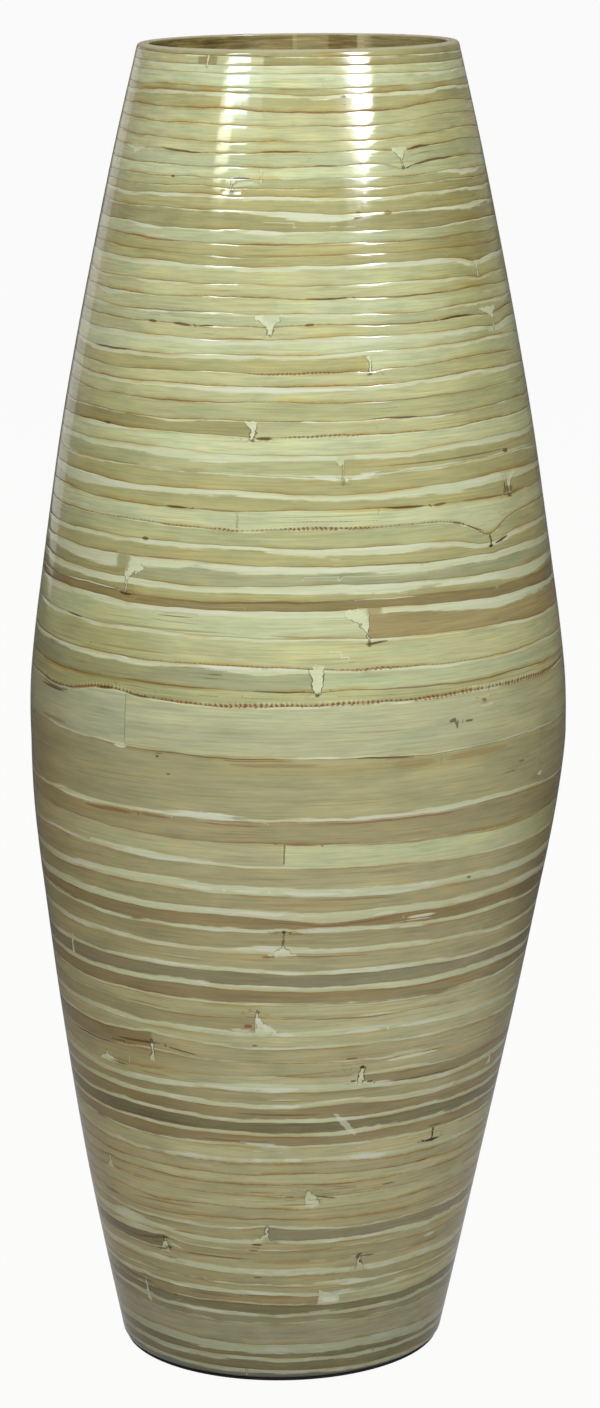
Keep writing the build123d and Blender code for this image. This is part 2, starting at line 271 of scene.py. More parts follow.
# Marks that follow a joint: phi, height of the joint, reach round, reach up, height above the
# joint, strength
seamMarks = {
    "beads": [
        (-16, 466, 4, 0.8, 0.1, 0.8), (6, 466, 14, 0.9, 0.2, 0.9), (16, 397.5, 8, 0.8, 0.2, 0.8),
        (6, 511.5, 12, 0.7, 0.1, 0.75), (-10, 380, 10, 1.3, 0.6, 0.8), (11, 379.5, 9, 1.0, 0.1, 0.8),
        (32, 379, 11, 1.1, -0.2, 0.7), (58, 379, 14, 1.1, -0.2, 0.9), (5, 46, 14, 0.5, 0.0, 0.5),
        (0, 543, 16, 0.6, 0.1, 0.8)],
    "rust": [
        (12, 670, 22, 0.7, 0.1, 0.6), (-45, 605.6, 13, 0.6, 0.2, 0.55),
        (-6, 605.6, 10, 0.6, 0.2, 0.55), (50, 606, 20, 0.6, 0.2, 0.4),
        (-36, 571.5, 18, 0.4, 0.2, 0.5), (24, 565, 14, 0.5, 0.3, 0.5), (-16, 559, 9, 0.5, 0.1, 0.6),
        (-30, 527.6, 18, 0.5, 0.1, 0.5), (30, 528, 20, 0.5, 0.1, 0.45), (48, 476.5, 8, 0.7, 0.2, 0.6),
        (-18, 475.5, 6, 0.6, 0.2, 0.5), (38.5, 464, 1.5, 0.7, 0.1, 0.8),
        (25, 448, 15, 0.5, 0.2, 0.45), (-31, 448, 5, 0.6, 0.3, 0.5), (-29, 386.8, 12, 0.6, 0.3, 0.6),
        (37, 386, 28, 0.5, 0.2, 0.5), (-53, 380, 6, 0.8, 0.0, 0.6), (-43, 319.5, 8, 1.1, -1.4, 0.7),
        (-31, 319.5, 4, 0.7, -1.3, 0.6), (-14, 319.5, 7, 0.6, -1.8, 0.5),
        (20, 319.5, 20, 0.6, -1.2, 0.6), (0.5, 307, 4, 0.6, -0.3, 0.7),
        (-12, 307.1, 7, 0.5, 0.0, 0.5), (38, 307, 32, 0.7, -0.6, 0.5),
        (12, 279.4, 12, 0.5, -1.2, 0.5), (-58, 279.8, 12, 0.5, -0.3, 0.4),
        (8, 266.5, 16, 0.7, -1.4, 0.5), (7, 247.6, 11, 0.5, -1.5, 0.6),
        (-5.5, 247.4, 1.3, 0.7, -1.4, 0.8), (-51, 219, 10, 0.5, 1.5, 0.5),
        (-30, 219.5, 10, 0.5, 1.6, 0.55), (14, 219, 18, 0.5, 1.0, 0.4), (-35, 212, 6, 0.4, 1.6, 0.5),
        (14, 212, 12, 0.4, -0.3, 0.7), (-11, 129, 8, 0.5, -0.5, 0.4), (-54, 122.7, 8, 0.5, 0.2, 0.5),
        (40.5, 122.7, 2.6, 0.6, 0.4, 0.8), (12, 116.9, 8, 0.5, 0.0, 0.55),
        (-34, 116.9, 6, 0.5, 0.0, 0.45), (-5, 96.9, 10, 0.5, 0.1, 0.6),
        (27, 82.2, 12, 0.5, 0.1, 0.45), (8, 78.2, 7, 0.5, 0.1, 0.4)],
    "umberDark": [
        (-39, 650, 9, 0.6, 0.3, 0.8), (-5, 650, 8, 0.5, 0.3, 0.65), (8, 643, 4, 0.5, 0.2, 0.7),
        (46, 645, 10, 0.7, 0.2, 0.7), (40, 651.8, 5, 0.8, 0.2, 0.8), (8, 578.7, 6, 0.6, 0.2, 0.7),
        (30, 578.6, 14, 0.5, 0.2, 0.5), (46, 565, 7, 0.6, 0.3, 0.9), (-40.5, 565, 1.6, 0.8, 0.1, 0.8),
        (-31, 565, 3, 0.8, 0.1, 0.75), (-24, 564.8, 2.2, 0.8, 0.1, 0.85),
        (3, 564.8, 1.5, 0.7, 0.2, 0.7), (-55, 548.5, 9, 0.7, 0.1, 0.75),
        (-28.5, 475.5, 3.5, 0.7, 0.2, 0.85), (25, 475, 6, 0.7, 0.2, 0.8),
        (34, 475.5, 2, 0.7, 0.1, 0.7), (-36, 457.5, 1.0, 1.0, 0.3, 0.8),
        (-7.6, 511, 2.4, 0.8, -0.3, 0.85), (24, 518.6, 7, 0.6, 0.1, 0.7),
        (-52, 511.8, 1.6, 0.8, 0.3, 0.7), (-56.5, 412, 3.5, 0.6, 0.0, 0.7),
        (-4, 386, 6, 0.5, 0.2, 0.6), (-44, 382.3, 2.5, 0.7, 0.0, 0.85),
        (-35, 381.6, 3.5, 0.6, 0.0, 0.7), (-64, 378, 6, 0.6, 0.0, 0.6),
        (-40.5, 429.5, 2, 0.7, 0.0, 0.85), (-8, 430, 20, 0.5, -0.4, 0.5),
        (-57, 186.6, 12, 0.5, 0.0, 0.75), (17, 351, 6.5, 0.5, -0.2, 0.75),
        (-18, 351.8, 16, 0.4, 0.2, 0.55)],
    "milk": [
        (4, 621, 12, 1.4, -2.0, 0.5), (-47, 612, 7, 0.9, -0.9, 0.6), (-9, 612, 7, 1.0, -0.9, 0.7),
        (20, 612, 9, 0.4, -0.5, 0.6), (22, 595, 22, 0.9, -1.0, 0.5), (-8, 536, 26, 0.9, -1.6, 0.8),
        (3, 518.6, 3, 0.5, -0.4, 0.7), (36, 518.6, 5, 0.4, -0.3, 0.7), (48, 485, 9, 1.1, -1.5, 0.4),
        (-46, 485, 14, 1.2, -1.5, 0.45), (22, 457, 14, 0.8, -0.9, 0.7), (0, 448, 28, 1.2, -1.6, 0.45),
        (18, 437.5, 16, 1.2, -1.4, 0.5), (44, 436.5, 8, 1.0, -2.0, 0.6),
        (-52, 430, 10, 0.5, 0.7, 0.8), (-26, 426, 14, 1.1, -1.0, 0.55),
        (46, 425.5, 14, 1.3, -1.8, 0.6), (-15, 397.4, 7, 0.9, -0.8, 0.95),
        (-3, 397.2, 4, 0.6, -0.5, 0.8), (-39, 397.6, 1.2, 0.7, -0.6, 0.8),
        (20, 430, 9, 0.3, -0.2, 0.6), (-57, 355, 9, 0.5, 0.2, 0.8),
        (-39.5, 353.8, 1.6, 0.9, -0.3, 0.9), (62, 351, 8, 0.5, 0.2, 0.6),
        (-54, 321, 7, 0.9, 0.9, 0.85), (-20, 319.7, 8, 1.4, 1.2, 0.9),
        (24, 319.5, 30, 0.7, 0.7, 0.75), (-29, 294.4, 13, 0.9, 1.0, 0.85),
        (-60, 295.5, 8, 0.7, 1.0, 0.6), (-52, 280.5, 9, 1.3, 2.6, 0.5),
        (-21, 280, 4.5, 1.3, 2.4, 0.8), (-10, 279.6, 4, 1.0, 2.0, 0.75), (3, 279.4, 7, 1.3, 2.0, 0.9),
        (-7, 267.6, 5, 1.1, 2.6, 0.75), (20, 267, 3, 1.0, 1.2, 0.7), (42, 267.6, 5, 1.2, 1.6, 0.6),
        (-17, 259.5, 4, 0.8, 0.6, 0.7), (9, 259.3, 7, 0.8, 0.4, 0.5), (27, 259.3, 4, 0.7, 0.3, 0.7),
        (-33, 248, 13, 0.8, 1.0, 0.45), (-49.5, 237, 2, 0.5, 0.8, 0.7), (-25, 237, 5, 0.6, 1.3, 0.8),
        (-1, 236.6, 5, 0.9, 0.9, 0.85), (18, 236.4, 7, 0.8, 0.8, 0.75),
        (-1, 202.3, 2.6, 1.2, 1.4, 0.85), (18, 202.1, 5.5, 1.2, 0.9, 0.8),
        (33, 202.1, 8, 1.2, 1.2, 0.85), (-2, 195.3, 9, 0.7, 0.7, 0.55),
        (-2, 170.2, 5.5, 1.3, 1.8, 0.9), (-15, 170.2, 7, 1.2, 1.8, 0.5),
        (0, 161.7, 4.5, 0.9, 1.6, 0.85), (-7, 139.1, 5, 0.7, 1.8, 0.7), (53, 138.8, 6, 0.5, 0.6, 0.7),
        (-7, 129.1, 1.2, 1.2, 2.0, 0.6), (2, 129.1, 2.4, 1.3, 2.0, 0.7), (23, 129, 6, 1.2, 2.2, 0.75),
        (22, 57.2, 4.5, 0.8, 0.6, 0.7), (-34, 51.5, 4.5, 0.7, 0.7, 0.7),
        (-4, 51.4, 7, 0.8, 0.9, 0.55), (-26, 39.2, 9, 1.0, 1.4, 0.5), (32, 186.6, 8, 1.0, -0.8, 0.8)],
}

# Marks at a place of their own: phi, height, reach round, reach up, rise for each degree, strength
spotMarks = {
    "cream": [
        # the first two, at 10.5 to 11 degrees, are painted highlights: small glints of a lamp on course
        # ridges
        (11, 676.8, 2.6, 1.1, 0.0, 0.8), (10.5, 686, 2, 1.0, 0.0, 0.6),
        (-16.3, 634.6, 3.6, 1.1, 0.33, 0.85), (42.5, 371, 2.2, 0.8, 0.0, 0.8),
        (-33, 76, 2.5, 0.7, -0.4, 0.7)],
    "milk": [
        (6.7, 491.2, 3.6, 1.3, -0.3, 0.9), (15.3, 491.6, 3.6, 1.1, 0.35, 0.9),
        (29, 264, 4, 0.9, 0.0, 0.85), (61.8, 326.3, 1.2, 1.2, 0.0, 0.8), (-52, 86, 8, 3.2, 0.0, 0.45),
        # (15.6, 150.5): a pale slanting smear
        (50, 74.5, 2.4, 1.0, 0.0, 0.6), (15.6, 150.5, 3.4, 2.6, -2.0, 0.6),
        (-4.9, 206.7, 1.7, 2.0, -0.8, 0.9), (-11.5, 205.6, 2.6, 0.9, 0.0, 0.6),
        (14.9, 48.5, 3.2, 1.5, -0.2, 0.8)],
    "amber": [
        (-50, 680, 22, 0.8, 0.0, 0.55), (0, 681, 7, 0.6, 0.0, 0.6), (-8, 600, 8, 0.7, 0.0, 0.5),
        (55, 600.5, 14, 0.8, 0.0, 0.5), (-38, 402.6, 11, 0.6, 0.0, 0.6),
        (-60, 401.6, 9, 0.6, 0.0, 0.5), (-30, 414.6, 19, 0.5, 0.0, 0.55),
        (2, 412.8, 9, 0.5, -0.14, 0.5), (40, 347.2, 9, 2.2, 0.0, 0.45),
        (24, 346.5, 5.5, 3.0, 0.0, 0.35)],
    "rust": [
        (26.4, 619.8, 1.3, 1.2, 0.0, 0.7), (17.5, 620.3, 1, 0.8, 0.0, 0.7),
        (-64, 357.6, 6.5, 1.0, 0.0, 0.5), (50, 333, 3, 0.4, 0.0, 0.6),
        (42, 373.4, 0.6, 0.9, 0.0, 0.8), (-5, 348.6, 10, 1.1, 0.0, 0.4),
        (-9.6, 207.3, 1.1, 1.6, 0.0, 0.85), (15.5, 188.3, 1.6, 0.6, 0.0, 0.8),
        (-35, 175.2, 5, 0.5, 0.0, 0.5), (6, 181, 8, 0.4, 0.12, 0.5), (-6, 113, 5, 0.5, 0.0, 0.5),
        (16.5, 113.8, 4.5, 0.4, 0.0, 0.5), (3.5, 105.8, 6, 0.5, 0.0, 0.5),
        (-36, 101, 14, 0.5, 0.05, 0.55), (-46, 84, 4, 0.5, 0.0, 0.5), (-30, 85.5, 5, 0.5, 0.0, 0.5),
        (-8.5, 78.7, 1.6, 0.5, 0.0, 0.8), (-35.5, 68.5, 2.4, 0.6, 0.0, 0.5)],
    "umberDark": [
        (15, 677, 0.7, 0.8, 0.0, 0.8), (-17, 637.6, 3, 0.6, 0.0, 0.75),
        (15.5, 617.4, 3.6, 0.6, 0.22, 0.85), (-40, 637.5, 0.8, 0.8, 0.0, 0.8),
        (36.8, 641.8, 2.8, 0.6, 0.35, 0.9), (43.8, 460.2, 3, 0.5, -0.8, 0.7),
        (58.5, 495.5, 1.2, 1.0, 0.0, 0.85), (38, 496.4, 22, 0.5, 0.02, 0.55),
        (-27, 421.3, 4.5, 0.3, 0.0, 0.7), (5, 472.4, 14, 0.3, 0.0, 0.4),
        (-17.5, 393.7, 2, 0.4, 0.0, 0.6), (58.6, 476.2, 1.4, 1.6, 0.0, 0.55),
        (56.3, 477, 0.35, 3.4, 0.0, 0.9), (16.6, 408.9, 2.6, 0.7, 0.3, 0.85),
        (-39, 192.3, 8, 0.8, 0.12, 0.85), (-26, 190.6, 4.2, 0.6, -0.3, 0.8),
        (-47, 176.6, 3.5, 0.5, 0.0, 0.7), (38, 172.1, 16, 0.4, -0.03, 0.65),
        (-3, 158, 11, 0.6, -0.04, 0.5), (-36, 149.5, 14, 0.6, 0.0, 0.45),
        (-8, 197, 0.7, 0.8, 0.0, 0.7), (-13, 142.5, 11, 0.4, 0.0, 0.5),
        (43.5, 141, 2.8, 0.4, 0.0, 0.8), (11.5, 109.6, 3.6, 0.5, -0.35, 0.8),
        (1.6, 110.5, 1.5, 0.5, 0.0, 0.6), (30, 112.8, 2.2, 0.5, 0.0, 0.7),
        (-43, 77.8, 7.5, 0.9, 0.3, 0.6), (-39, 72.6, 2, 0.6, 0.0, 0.7),
        (-20, 73.6, 12, 0.5, 0.0, 0.65), (-57, 76.5, 8, 0.6, 0.0, 0.4),
        (26.4, 72, 2.2, 0.5, -0.1, 0.8), (23, 72, 0.8, 1.5, 0.0, 0.8),
        (-56, 50.5, 12, 0.9, -0.1, 0.6), (-22, 50.6, 8, 0.8, 0.0, 0.35),
        (-9.5, 52.6, 2.2, 1.0, 0.0, 0.5), (-48, 49.3, 2, 0.8, 0.0, 0.5),
        (-36, 46, 1.4, 0.5, 0.0, 0.6), (-7.5, 62.8, 1.6, 0.6, 0.0, 0.7),
        (16.4, 175.3, 0.9, 0.7, 0.0, 0.8), (20.8, 174.2, 0.9, 0.7, 0.0, 0.8)],
    "burnt": [
        (-64, 373.5, 6.5, 0.7, 0.0, 0.75), (33.6, 366, 1.3, 1.2, 0.3, 0.7),
        (34.4, 363.6, 0.35, 2.0, 0.0, 0.7), (37.6, 364.7, 1.2, 0.7, 0.0, 0.7),
        (-30, 350, 0.5, 0.7, 0.0, 0.7), (-27.5, 341.3, 0.45, 0.6, 0.0, 0.7),
        (53.5, 337, 1.2, 0.6, 0.0, 0.5), (40.5, 280.5, 0.7, 0.8, 0.0, 0.7),
        (52.4, 451.9, 2.5, 0.7, 0.5, 0.9), (43, 132.8, 3.2, 0.9, 0.0, 0.85),
        (-7.5, 82.3, 1.8, 0.6, 0.0, 0.8), (-35.9, 74.4, 1.1, 0.7, 0.0, 0.7),
        (-59, 97, 4.5, 1.1, 0.0, 0.35)],
}

# Where the cream swells along a joint: phi, height of the joint, reach round, extra height
lenses = [(5, 621, 14, 3.6), (-48, 612, 7, 1.4), (-10, 612, 8, 1.6), (-3, 536, 22, 1.2),
          (16, 457, 18, 1.6), (15, 437, 16, 1.6), (-60, 578.7, 9, 2.4), (-58, 512, 9, 2.6),
          (12, 559, 10, 1.2), (-28, 503, 14, 2.2), (45, 485, 20, 1.6), (-50, 448, 16, 3.0),
          (45, 426, 16, 2.0), (60, 437, 14, 2.0), (-62, 485, 12, 2.2), (62, 621, 12, 2.2),
          (62, 637, 10, 2.4), (-50, 397, 30, 1.2), (-8, 397, 10, 2.2), (-55, 319.5, 9, 1.6),
          (-17, 319.5, 10, 2.2), (35, 319.5, 22, 0.9), (-38, 294, 16, 2.4), (7, 267.5, 9, 1.6),
          (-20, 279.5, 26, 1.2), (-6, 247.5, 7, 2.2), (30, 178.5, 10, 2.2), (-4, 170, 16, 1.4),
          (22, 129, 10, 1.2), (-52, 82, 10, 4.0), (30, 186.5, 9, 2.0), (20, 57, 8, 2.4)]

# Habits of the back, which the photo does not show: shares of its strips, and ranges to draw from
back = {
    "from": 0.2, "to": 0.5, "creamy": 0.7, "cream": (0.2, 3.6), "scantCream": 0.3, "farCream": 0.2,
    "line": (0.1, 0.9), "frontEnds": (78, 112), "change": (0.26, 0.42), "laterChange": (0.55, 0.68),
    "changesTwice": 0.5, "knotty": 0.62, "knotRoom": 3.5, "narrow": (0.3, 1.0), "flare": (0.4, 6.0),
    "scars": [0.0, 0.4, 1.0], "dark": (0.1, 1.0), "beforeAll": -9.0, "seed": 11,
    "lower": ["hay", "hay", "sand", "sand", "fawn", "brown", "brown", "dark", "leaf", "stone"],
    "upper": ["pale", "dew", "straw", "straw", "tan", "tan", "sage", "moss", "olive", "umber"],
}


def strayed(joints, turn, rounds):  # height of the joint some rounds above, where it has wandered to
    z = curveAt(joints, turn + rounds)
    return float(z) + float(wander(turn, z))


def backSide(half, seed):  # the same kinds of course and bamboo node as the front has
    pick = np.random.default_rng(seed)
    winding, top, names = windings[half], half == "upper", back[half]
    courses, joints = winding["courses"], winding["heights"]
    backs, changes = [], [(back["beforeAll"], courses[0][-1])]
    for k, course in enumerate(courses):
        cream = pick.uniform(*back["cream"]) if pick.random() < back["creamy"] else back["scantCream"]
        backs.append((back["farCream"] if top else cream, cream if top else back["farCream"],
                      pick.uniform(*back["line"])))
        skins, places = course[3::2], course[4::2]  # a turn runs from the right round to the left
        for place, tone in zip([pick.uniform(*back["frontEnds"]), *reversed(places)], reversed(skins)):
            changes.append((k - place / 360, tone))
        first, second = k + pick.uniform(*back["change"]), k + pick.uniform(*back["laterChange"])
        changes.append((first, names[pick.integers(len(names))]))
        if pick.random() < back["changesTwice"]:
            changes.append((second, names[pick.integers(len(names))]))
        for turn in (first, second):
            if pick.random() < back["knotty"] and 0 < turn < len(courses):
                low, high = strayed(joints, turn, 0), strayed(joints, turn, 1)
                if high - low > back["knotRoom"]:
                    tip, mouth = (low, high) if top else (high, low)
                    knots.append((float(seenAngle(turn, low)), tip, mouth, pick.uniform(*back["narrow"]),
                                  pick.uniform(*back["flare"]), pick.uniform(*back["flare"]),
                                  pick.choice(back["scars"]), pick.uniform(*back["dark"])))
    winding["backs"] = np.array(backs)
    winding["fronts"] = np.array([course[:3] for course in courses])
    changes.sort()
    winding["changeTurns"] = np.array([turn for turn, tone in changes])
    winding["changeTones"] = np.array([linear(tone) for turn, tone in changes])


frontKnots = len(knots)  # those that the photo shows, before the back adds its own
for seed, (half, winding) in enumerate(windings.items(), back["seed"]):
    heights = [(k, winding["bottom"] + s * (winding["top"] - winding["bottom"]))
               for k, s in enumerate(winding["joints"])]
    last = len(heights) - 1
    heights[0] = (wall["levelTurn"], winding["bottom"])
    heights[-1] = (last - wall["levelTurn"], winding["top"])
    winding["heights"] = heights
    backSide(half, seed)
knotTable = np.array([(*knot, usualKnee)[:knotColumns] for knot in knots], float)
markList = [(followsJoint, tone == "beads", linear("rust" if tone == "beads" else tone), *mark)
            for followsJoint, table in ((True, seamMarks), (False, spotMarks))
            for tone, marks in table.items() for mark in marks]
lensTable = np.array(lenses, float)
print("courses:", len(lowerCourses), "below,", len(upperCourses), "above;", len(knots), "bamboo nodes")


class Signal:  # one output in a node tree, so that a pattern is written as a sum
    def __init__(self, tree, socket=None):
        self.tree, self.socket = tree, socket

    def node(self, kind, settings=(), values=(), output=0):
        made = self.tree.nodes.new("ShaderNode" + kind)
        for name, setting in dict(settings).items():
            setattr(made, name, setting)
        for key, value in dict(values).items():
            if isinstance(value, Signal):
                self.tree.links.new(value.socket, made.inputs[key])
            else:
                made.inputs[key].default_value = value
        return Signal(self.tree, made.outputs[output])

    def math(self, operation, *others):
        return self.node("Math", {"operation": operation}, enumerate((self, *others)))

    def __add__(self, other):
        return self.math("ADD", other)

    def __sub__(self, other):
        return self.math("SUBTRACT", other)

    def __rsub__(self, other):
        return self.node("Math", {"operation": "SUBTRACT"}, {0: other, 1: self})

    def __mul__(self, other):
        return self.math("MULTIPLY", other)

    def __truediv__(self, other):
        return self.math("DIVIDE", other)

    __radd__, __rmul__ = __add__, __mul__

    def size(self):
        return self.math("ABSOLUTE")

    def top(self, other):
        return self.math("MAXIMUM", other)

    def least(self, other):
        return self.math("MINIMUM", other)

    def step(self, start, end):  # 0 before start, 1 after end
        return self.node("MapRange", {"interpolation_type": "SMOOTHSTEP"},
                         {0: self, 1: start, 2: end, 3: 0.0, 4: 1.0})

    def mix(self, first, second):  # self is the share of the second colour
        asColour = [(*c, 1) if isinstance(c, list) else c for c in (first, second)]
        return self.node("Mix", {"data_type": "RGBA"}, {0: self, 6: asColour[0], 7: asColour[1]}, 2)

    def shade(self, amount):  # a colour made lighter or darker
        return self.node("VectorMath", {"operation": "SCALE"}, {0: self, 3: amount})

    def tint(self, red, green, blue):  # a colour with each part made weaker or stronger
        return self.node("VectorMath", {"operation": "MULTIPLY"}, {0: self, 1: (red, green, blue)})

    def parts(self):
        split = self.node("SeparateXYZ", (), {0: self}).socket.node
        return [Signal(self.tree, socket) for socket in split.outputs]

    def stretch(self, along, across, third=0.0):
        return self.node("VectorMath", {"operation": "MULTIPLY"}, {0: self, 1: (along, across, third)})

    def noise(self, detail=2.0, rough=0.5):
        return self.node("TexNoise", (), {"Vector": self, "Scale": 1.0, "Detail": detail,
                                          "Roughness": rough})

    def attribute(self, name, output=1):
        return self.node("Attribute", {"attribute_name": name}, (), output)

    def height(self):  # millimetres above the floor
        return self.node("TexCoord", (), (), "Object").parts()[2] / mm

    def rays(self):  # 1 where a ray comes from the camera, off a glossy face or through glass
        return [self.node("LightPath", (), (), f"Is {kind} Ray")
                for kind in ("Camera", "Glossy", "Transmission")]


def newMaterial(name, **constants):
    material = bpy.data.materials.new(name)
    material.use_nodes = True
    shader = material.node_tree.nodes["Principled BSDF"]
    for socket, value in constants.items():
        shader.inputs[socket.replace("_", " ")].default_value = value
    return material, Signal(material.node_tree), shader


def plug(signal, shader, socket):
    signal.tree.links.new(signal.socket, shader.inputs[socket])


def plugBump(start, shader, strength, distance, relief):
    bump = start.node("Bump", (), {"Strength": strength, "Distance": distance, "Height": relief})
    plug(bump, shader, "Normal")


bamboo = {
    "gloss": 0.055, "grainGloss": 0.06, "glueGloss": 0.12, "ior": 1.5, "bump": 0.5,
    "fibreRelief": 0.012 * mm, "edgeBlur": 0.3, "glueLine": 0.28, "bead": 2.1 * mm,
    "lip": 1.5, "lipFade": 1.0, "lipShare": 0.8, "footBlackAndShadow": 3.4, "footBlackAndShadowFade": 1.6, "footBlackAndShadowShare": 0.85,
}
# Patterns on a lath: repeats in a metre along it and up it, detail, roughness
grain = {
    "fibres": (60, 1700, 2.0, 0.7), "streaks": (24, 640, 4.0, 0.7), "broad": (10, 150, 2.0, 0.5),
    "patches": (30, 90, 3.0, 0.6), "fray": (160, 300, 3.0, 0.7), "presence": (24, 50, 2.0, 0.5),
    "dots": (420, 160, 1.0, 0.5), "dashes": (330, 210, 2.0, 0.5), "ragged": (420, 420, 2.0, 0.6),
    "raggedUp": (380, 430, 1.0, 0.5), "russet": (13, 420, 2.0, 0.5), "hairline": (18, 950, 2.0, 0.5),
    "chalk": (40, 150, 3.0, 0.6), "bend": (140, 140, 1.0, 0.5), "swell": (260, 200, 1.0, 0.5),
}
# Patterns that swing to both sides of nothing, and how strongly
swings = {"fibres": 1.0, "streaks": 1.0, "broad": 1.0, "patches": 1.0, "fray": 0.9, "ragged": 2.8,
          "raggedUp": 0.25, "bend": 3.0}


class LathSignals:  # the patterns and the lath's own attributes that its colour is made from
    def __init__(self, start):
        lath = start.node("UVMap", {"uv_map": "lath"})
        self.height, self.skinTone = start.height(), start.attribute("skinTone", 0)
        for name, (along, up, detail, rough) in grain.items():
            pattern = lath.stretch(along, up).noise(detail, rough)
            setattr(self, name, (pattern - 0.5) * swings[name] if name in swings else pattern)
        self.toLow, self.toHigh, self.stainAndEdgeShade = start.attribute("edges").parts()
        self.creamLow, self.creamHigh, self.brownLine = start.attribute("bands").parts()
        self.across, self.rise, self.dark = start.attribute("knot").parts()
        self.narrow, self.flare, self.scar = start.attribute("knotForm").parts()
        self.knee, self.scarPlace = start.attribute("knee", 2), start.attribute("scarPlace", 2)
        wave = lath.parts()[0] * (2 * math.pi / bamboo["bead"]) + self.ragged * 2.6
        wave = (wave + self.patches * 16.0).math("SINE")
        self.beads = wave.step(-0.6, 0.5) * self.dots.step(0.32, 0.46)
        self.glue = (bamboo["glueLine"] - self.toLow.least(self.toHigh)).step(0.0, bamboo["glueLine"])


def skinColour(on):  # streaks along the fibres, with honey, green and russet patches and dark hairlines
    light = 1.0 + 0.6 * on.streaks + 0.5 * on.fibres + 0.35 * on.broad + 0.6 * on.patches
    skin = on.skinTone.shade(light)
    honey = (on.patches + on.streaks * 0.9).step(0.02, 0.18) * 0.5
    skin = honey.mix(skin, skin.tint(1.02, 0.96, 0.84))
    green = (on.broad - on.patches * 0.8 - on.streaks * 0.6).step(0.03, 0.2) * 0.6
    skin = green.mix(skin, skin.tint(0.92, 0.99, 0.98))
    russet = (on.russet - on.height.step(90, 180) * 0.03).step(0.58, 0.67)
    skin = (russet * on.patches.step(-0.1, 0.15) * 0.7).mix(skin, skin.tint(0.93, 0.76, 0.6))
    hairline = on.hairline.step(0.58, 0.68) * on.patches.step(-0.2, 0.1) * 0.7
    return hairline.mix(skin, skin.tint(0.82, 0.74, 0.58))


def fleshColour(on):  # the cream under the skin, chalky in places and duller towards the foot
    chalky = on.chalk.step(0.5, 0.64) * (1.0 - on.height.step(330, 430) * 0.75)
    flesh = chalky.mix(linear("cream"), linear("milk"))
    return flesh.shade(0.66 + 0.22 * on.height.step(25, 60) + 0.12 * on.height.step(60, 360))


def withCreamEdges(on, colour, flesh):  # flesh laid bare along an edge, frayed into the skin
    blur = bamboo["edgeBlur"]
    loose = on.fray + on.streaks * 3.2 + on.patches * 3.0 + on.broad * 1.6
    low, high = ((width + loose - edge).step(-blur, blur * 2) * width.step(0.15, 0.6)
                 for width, edge in ((on.creamLow, on.toLow), (on.creamHigh, on.toHigh)))
    cream = low.top(high) * (on.patches * 0.8 + on.broad * 0.5 + 0.5).step(0.24, 0.4)
    return cream.mix(colour, flesh.shade(1.0 + 0.5 * on.streaks + 0.3 * on.fibres))


def withBrownLine(on, colour):  # along the low edge, beaded where it is strongest, and chalky above
    line = (0.25 + 0.6 * on.brownLine + on.fray * 0.5 - on.toLow).step(-0.2, 0.6)
    shown = (on.presence + 0.3 * on.brownLine.least(1.0)).step(0.46, 0.7)
    beaded = on.brownLine.step(0.75, 0.95)
    gaps = beaded * (1.0 - on.beads) * 0.75 + (1.0 - beaded) * (1.0 - on.dashes.step(0.44, 0.54)) * 0.6
    chalk = on.brownLine.step(1.1, 1.3) * (2.6 - on.toLow + on.fray).step(0.0, 0.8)
    chalk = chalk * (1.0 - on.beads) * on.patches.step(-0.1, 0.1)
    colour = (chalk * 0.7).mix(colour, linear("cream"))
    tone = (on.presence + 0.15 * on.brownLine).step(0.52, 0.76).mix(linear("amber"), linear("rust"))
    colour = (line * shown * (1.0 - gaps) * (0.44 + 0.28 * on.brownLine)).mix(colour, tone)
    smear = on.presence.step(0.47, 0.6) * (0.45 + 0.45 * on.brownLine) + shown * 0.12
    near = on.toLow.least(on.toHigh * 1.4)
    halo = (2.4 - near + on.fray + on.streaks * 4.0 + on.broad * 2.0).step(0.0, 2.0) * smear
    return halo.mix(colour, colour.tint(0.88, 0.7, 0.46))


def withStainsAndEdgeShade(on, colour):  # brown that soaked across the courses, painted shade towards the sides, and the glue between them
    soakAndShade = on.stainAndEdgeShade * (1.0 + on.streaks * 3.0) * 0.9
    colour = soakAndShade.mix(colour, colour.tint(0.86, 0.68, 0.5))
    return (on.glue * (0.1 + 0.3 * on.dots)).mix(colour, linear("burnt"))


